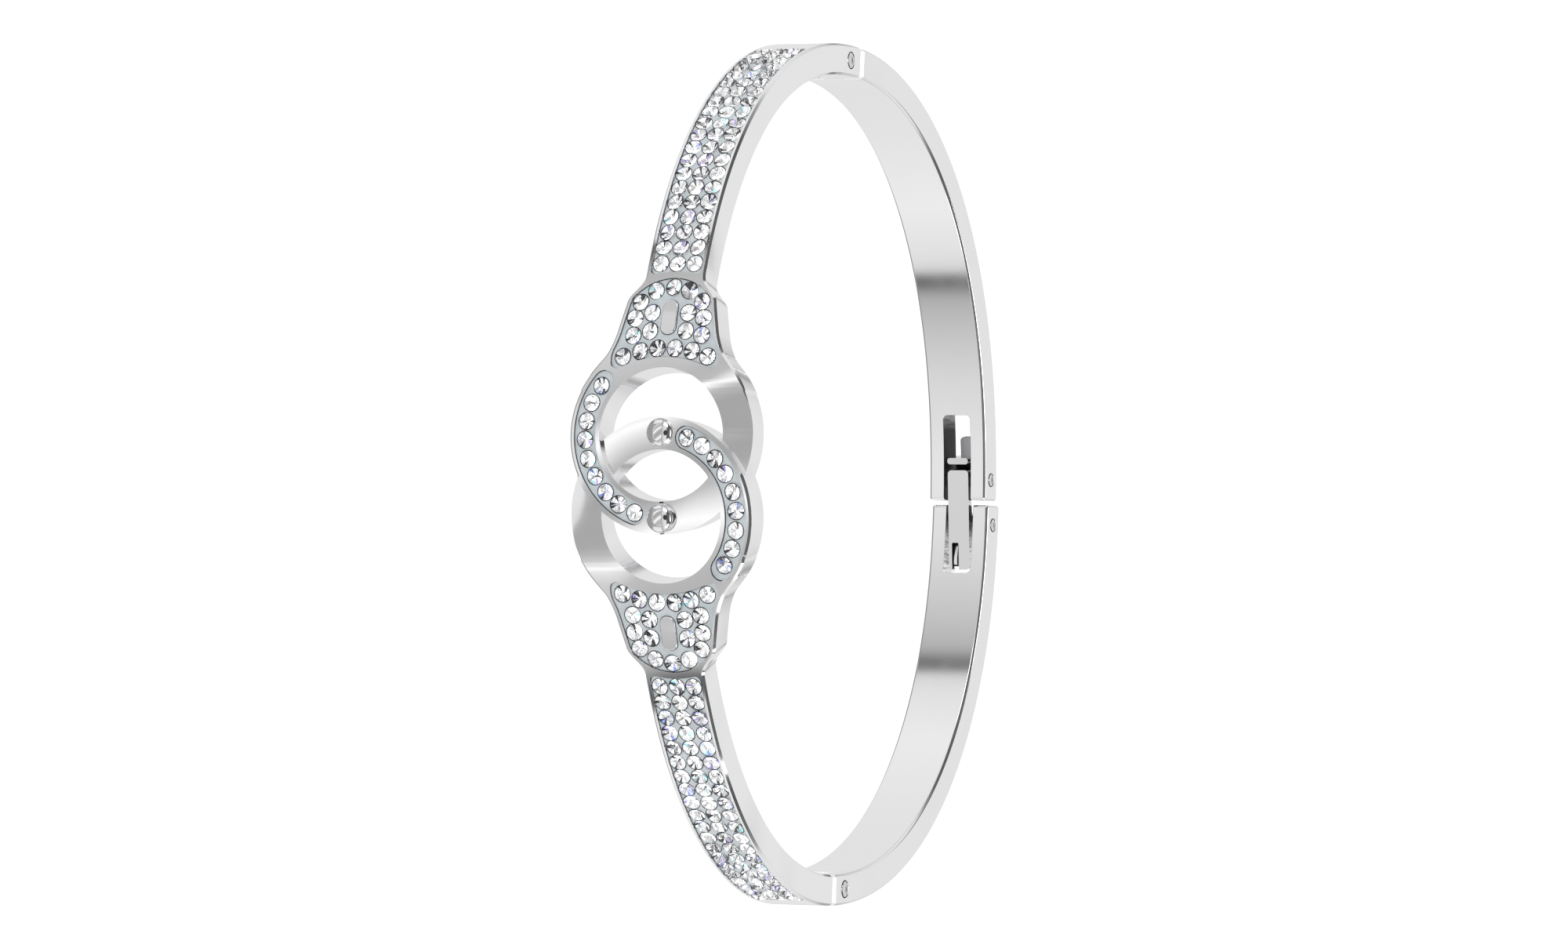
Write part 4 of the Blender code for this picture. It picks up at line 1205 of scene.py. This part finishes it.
fields = {
    "strip": (strip_outline, strip_stones),
    "lock": (lock_outline, lock_stones),
    "cuff": (cuff_outline, cuff_stones),
}
clay = mottled(
    "setting_clay", {"Scale": 900.0, "Detail": 3.0},
    [(0.3, (0.56, 0.62, 0.65)), (0.7, (0.72, 0.77, 0.79))], dimples=0.25, Roughness=0.32,
)
chance = random.Random(7)
placed = {}
for field, (outline, stones) in fields.items():
    for side, name in ((-1, "left"), (1, "right")):
        spots = [
            (x + chance.uniform(-SCATTER, SCATTER), z + chance.uniform(-SCATTER, SCATTER))
            for x, z in turned(stones(), side)
        ]
        placed[field, name] = spots
        cutters = [holes(spots)]
        if field == "lock":
            cutters.append(prism(turned(keyhole_outline(CLAY_GAP), side), -PAST, THROUGH))
        bed = prism(turned(outline(CLAY_GAP), side), CLAY_TOP, POCKET_DEPTH - CLAY_GAP)
        finished(
            f"{field}_{name}_bed", sliced(shaped(bed, cutters=cutters)), left_oval.bend, [clay],
            "front", [f"{field}_{name}_clay"],
        )


# -------- crystals
# Clear round chatons: a faceted glass crown over a pavilion backed with foil. The foil's facets are
# painted light, grey and dark at random, a few with coloured glints, as painted reflections, and glow a
# little, painted light; a near-black ring round each girdle is painted shade. Each is pushed into the
# clay by hand, so that it leans and turns a little.

CROWN = 0.2 * MM
PAVILION = 0.38 * MM
GIRDLE = 0.03 * MM
GIRDLE_RADIUS = 0.605 * MM
SHADE_RING_INNER = 0.59 * MM
SHADE_RING_OUTER = 0.66 * MM
GIRDLE_DEPTH = 0.11 * MM
TABLE_SHARE = 0.54
SHADE_RING_SIDES = 16
LEAN = radians(5)
# Painted light: the foil's glow, its random facet tones and rare coloured glints are painted
# reflections
FOIL_PAINTED_GLOW = 0.4
PAINTED_FACET_TONES = [(1.0, 1.0, 1.0)] * 14 + [(0.6, 0.6, 0.61)] * 3 + [(0.04, 0.04, 0.045)] * 3
SHADE_RING_TONE = (0.03, 0.03, 0.035)
PAINTED_GLINTS = [(0.25, 0.35, 0.85), (0.35, 0.75, 0.80), (0.45, 0.35, 0.75)]
PAINTED_GLINT_SHARE = 0.035
BACK = -0.2  # a face that leans back further than this is foiled


def crystal_shape():
    """One brilliant round its own upright axis, its girdle at height 0."""
    mesh = bmesh.new()
    r = GIRDLE_RADIUS
    rings = (
        (8, 0.0, TABLE_SHARE * r, CROWN),
        (8, 0.5, 0.80 * r, CROWN * 0.6),
        (16, 0.0, r, 0.0),
        (16, 0.0, r, -GIRDLE),
        (8, 0.5, 0.62 * r, -GIRDLE - PAVILION * 0.42),
        (8, 0.0, 0.12 * r, -GIRDLE - PAVILION),
    )
    for count, shift, radius, level in rings:
        for k in range(count):
            t = (k + shift) * 2 * pi / count
            mesh.verts.new((radius * cos(t), radius * sin(t), level))
    bmesh.ops.convex_hull(mesh, input=mesh.verts[:])
    bmesh.ops.dissolve_limit(
        mesh, angle_limit=radians(0.5), verts=mesh.verts, edges=mesh.edges
    )
    # A flat ring round the girdle, coloured near-black later: painted shade
    turns = [2 * pi * k / SHADE_RING_SIDES for k in range(SHADE_RING_SIDES)]
    inner, outer = (
        [mesh.verts.new((radius * cos(t), radius * sin(t), 0)) for t in turns]
        for radius in (SHADE_RING_INNER, SHADE_RING_OUTER)
    )
    for k in range(SHADE_RING_SIDES):
        mesh.faces.new((inner[k - 1], outer[k - 1], outer[k], inner[k]))
    return settled("crystal_shape", mesh)


shape = crystal_shape()
# Clear glass with the faintest blue
glass = mottled(
    "crystal_glass", {"Scale": 700.0}, [(0.4, (0.97, 0.985, 1.0)), (0.6, (1.0, 1.0, 1.0))],
    Transmission_Weight=1.0, IOR=1.52, Roughness=0.0,
)
# Mirror foil, each facet with its own painted tone (painted reflections), glowing in it as painted
# light
foil, wire, add, sockets = painted(
    "crystal_foil_painted_reflections", Metallic=1.0, Roughness=0.04, Emission_Strength=FOIL_PAINTED_GLOW
)
facet = add("ShaderNodeAttribute", attribute_name="facet")
wire(facet.outputs["Color"], sockets["Base Color"])
wire(facet.outputs["Color"], sockets["Emission Color"])


def crystals(name, spots, nodes):
    """A field of crystals at these places, with their foil's painted reflections and rings of painted
    shade.
    """
    mesh = bmesh.new()
    tone = mesh.loops.layers.float_color.new("facet")
    stand = Matrix.Rotation(pi / 2, 4, "X")
    for along, across in spots:
        first_vert, first_face = len(mesh.verts), len(mesh.faces)
        mesh.from_mesh(shape)
        mesh.verts.ensure_lookup_table()
        mesh.faces.ensure_lookup_table()
        for face in mesh.faces[first_face:]:
            face.normal_update()
            middle = face.calc_center_median()
            # Painted shade on the flat ring and girdle band; random painted reflection tones on the
            # other faces
            edge = middle.xy.length > SHADE_RING_INNER * 0.98 and abs(middle.z) <= GIRDLE
            face.material_index = 1 if edge or face.normal.z < BACK else 0
            shade = chance.choice(PAINTED_GLINTS if chance.random() < PAINTED_GLINT_SHARE else PAINTED_FACET_TONES)
            for corner in face.loops:
                corner[tone] = (*(SHADE_RING_TONE if edge else shade), 1)
        lean = Matrix.Rotation(chance.gauss(0, LEAN), 4, "X")
        lean = lean @ Matrix.Rotation(chance.gauss(0, LEAN), 4, "Y")
        spin = Matrix.Rotation(chance.uniform(0, 2 * pi), 4, "Z")
        spot = Matrix.Translation((along, GIRDLE_DEPTH, across))
        bmesh.ops.transform(mesh, matrix=spot @ stand @ lean @ spin, verts=mesh.verts[first_vert:])
    finished(name, mesh, left_oval.bend, [glass, foil], "front", nodes, smooth=False)


for (field, name), spots in placed.items():
    crystals(f"{field}_{name}_stones", spots, [f"{field}_{name}_crystals"])
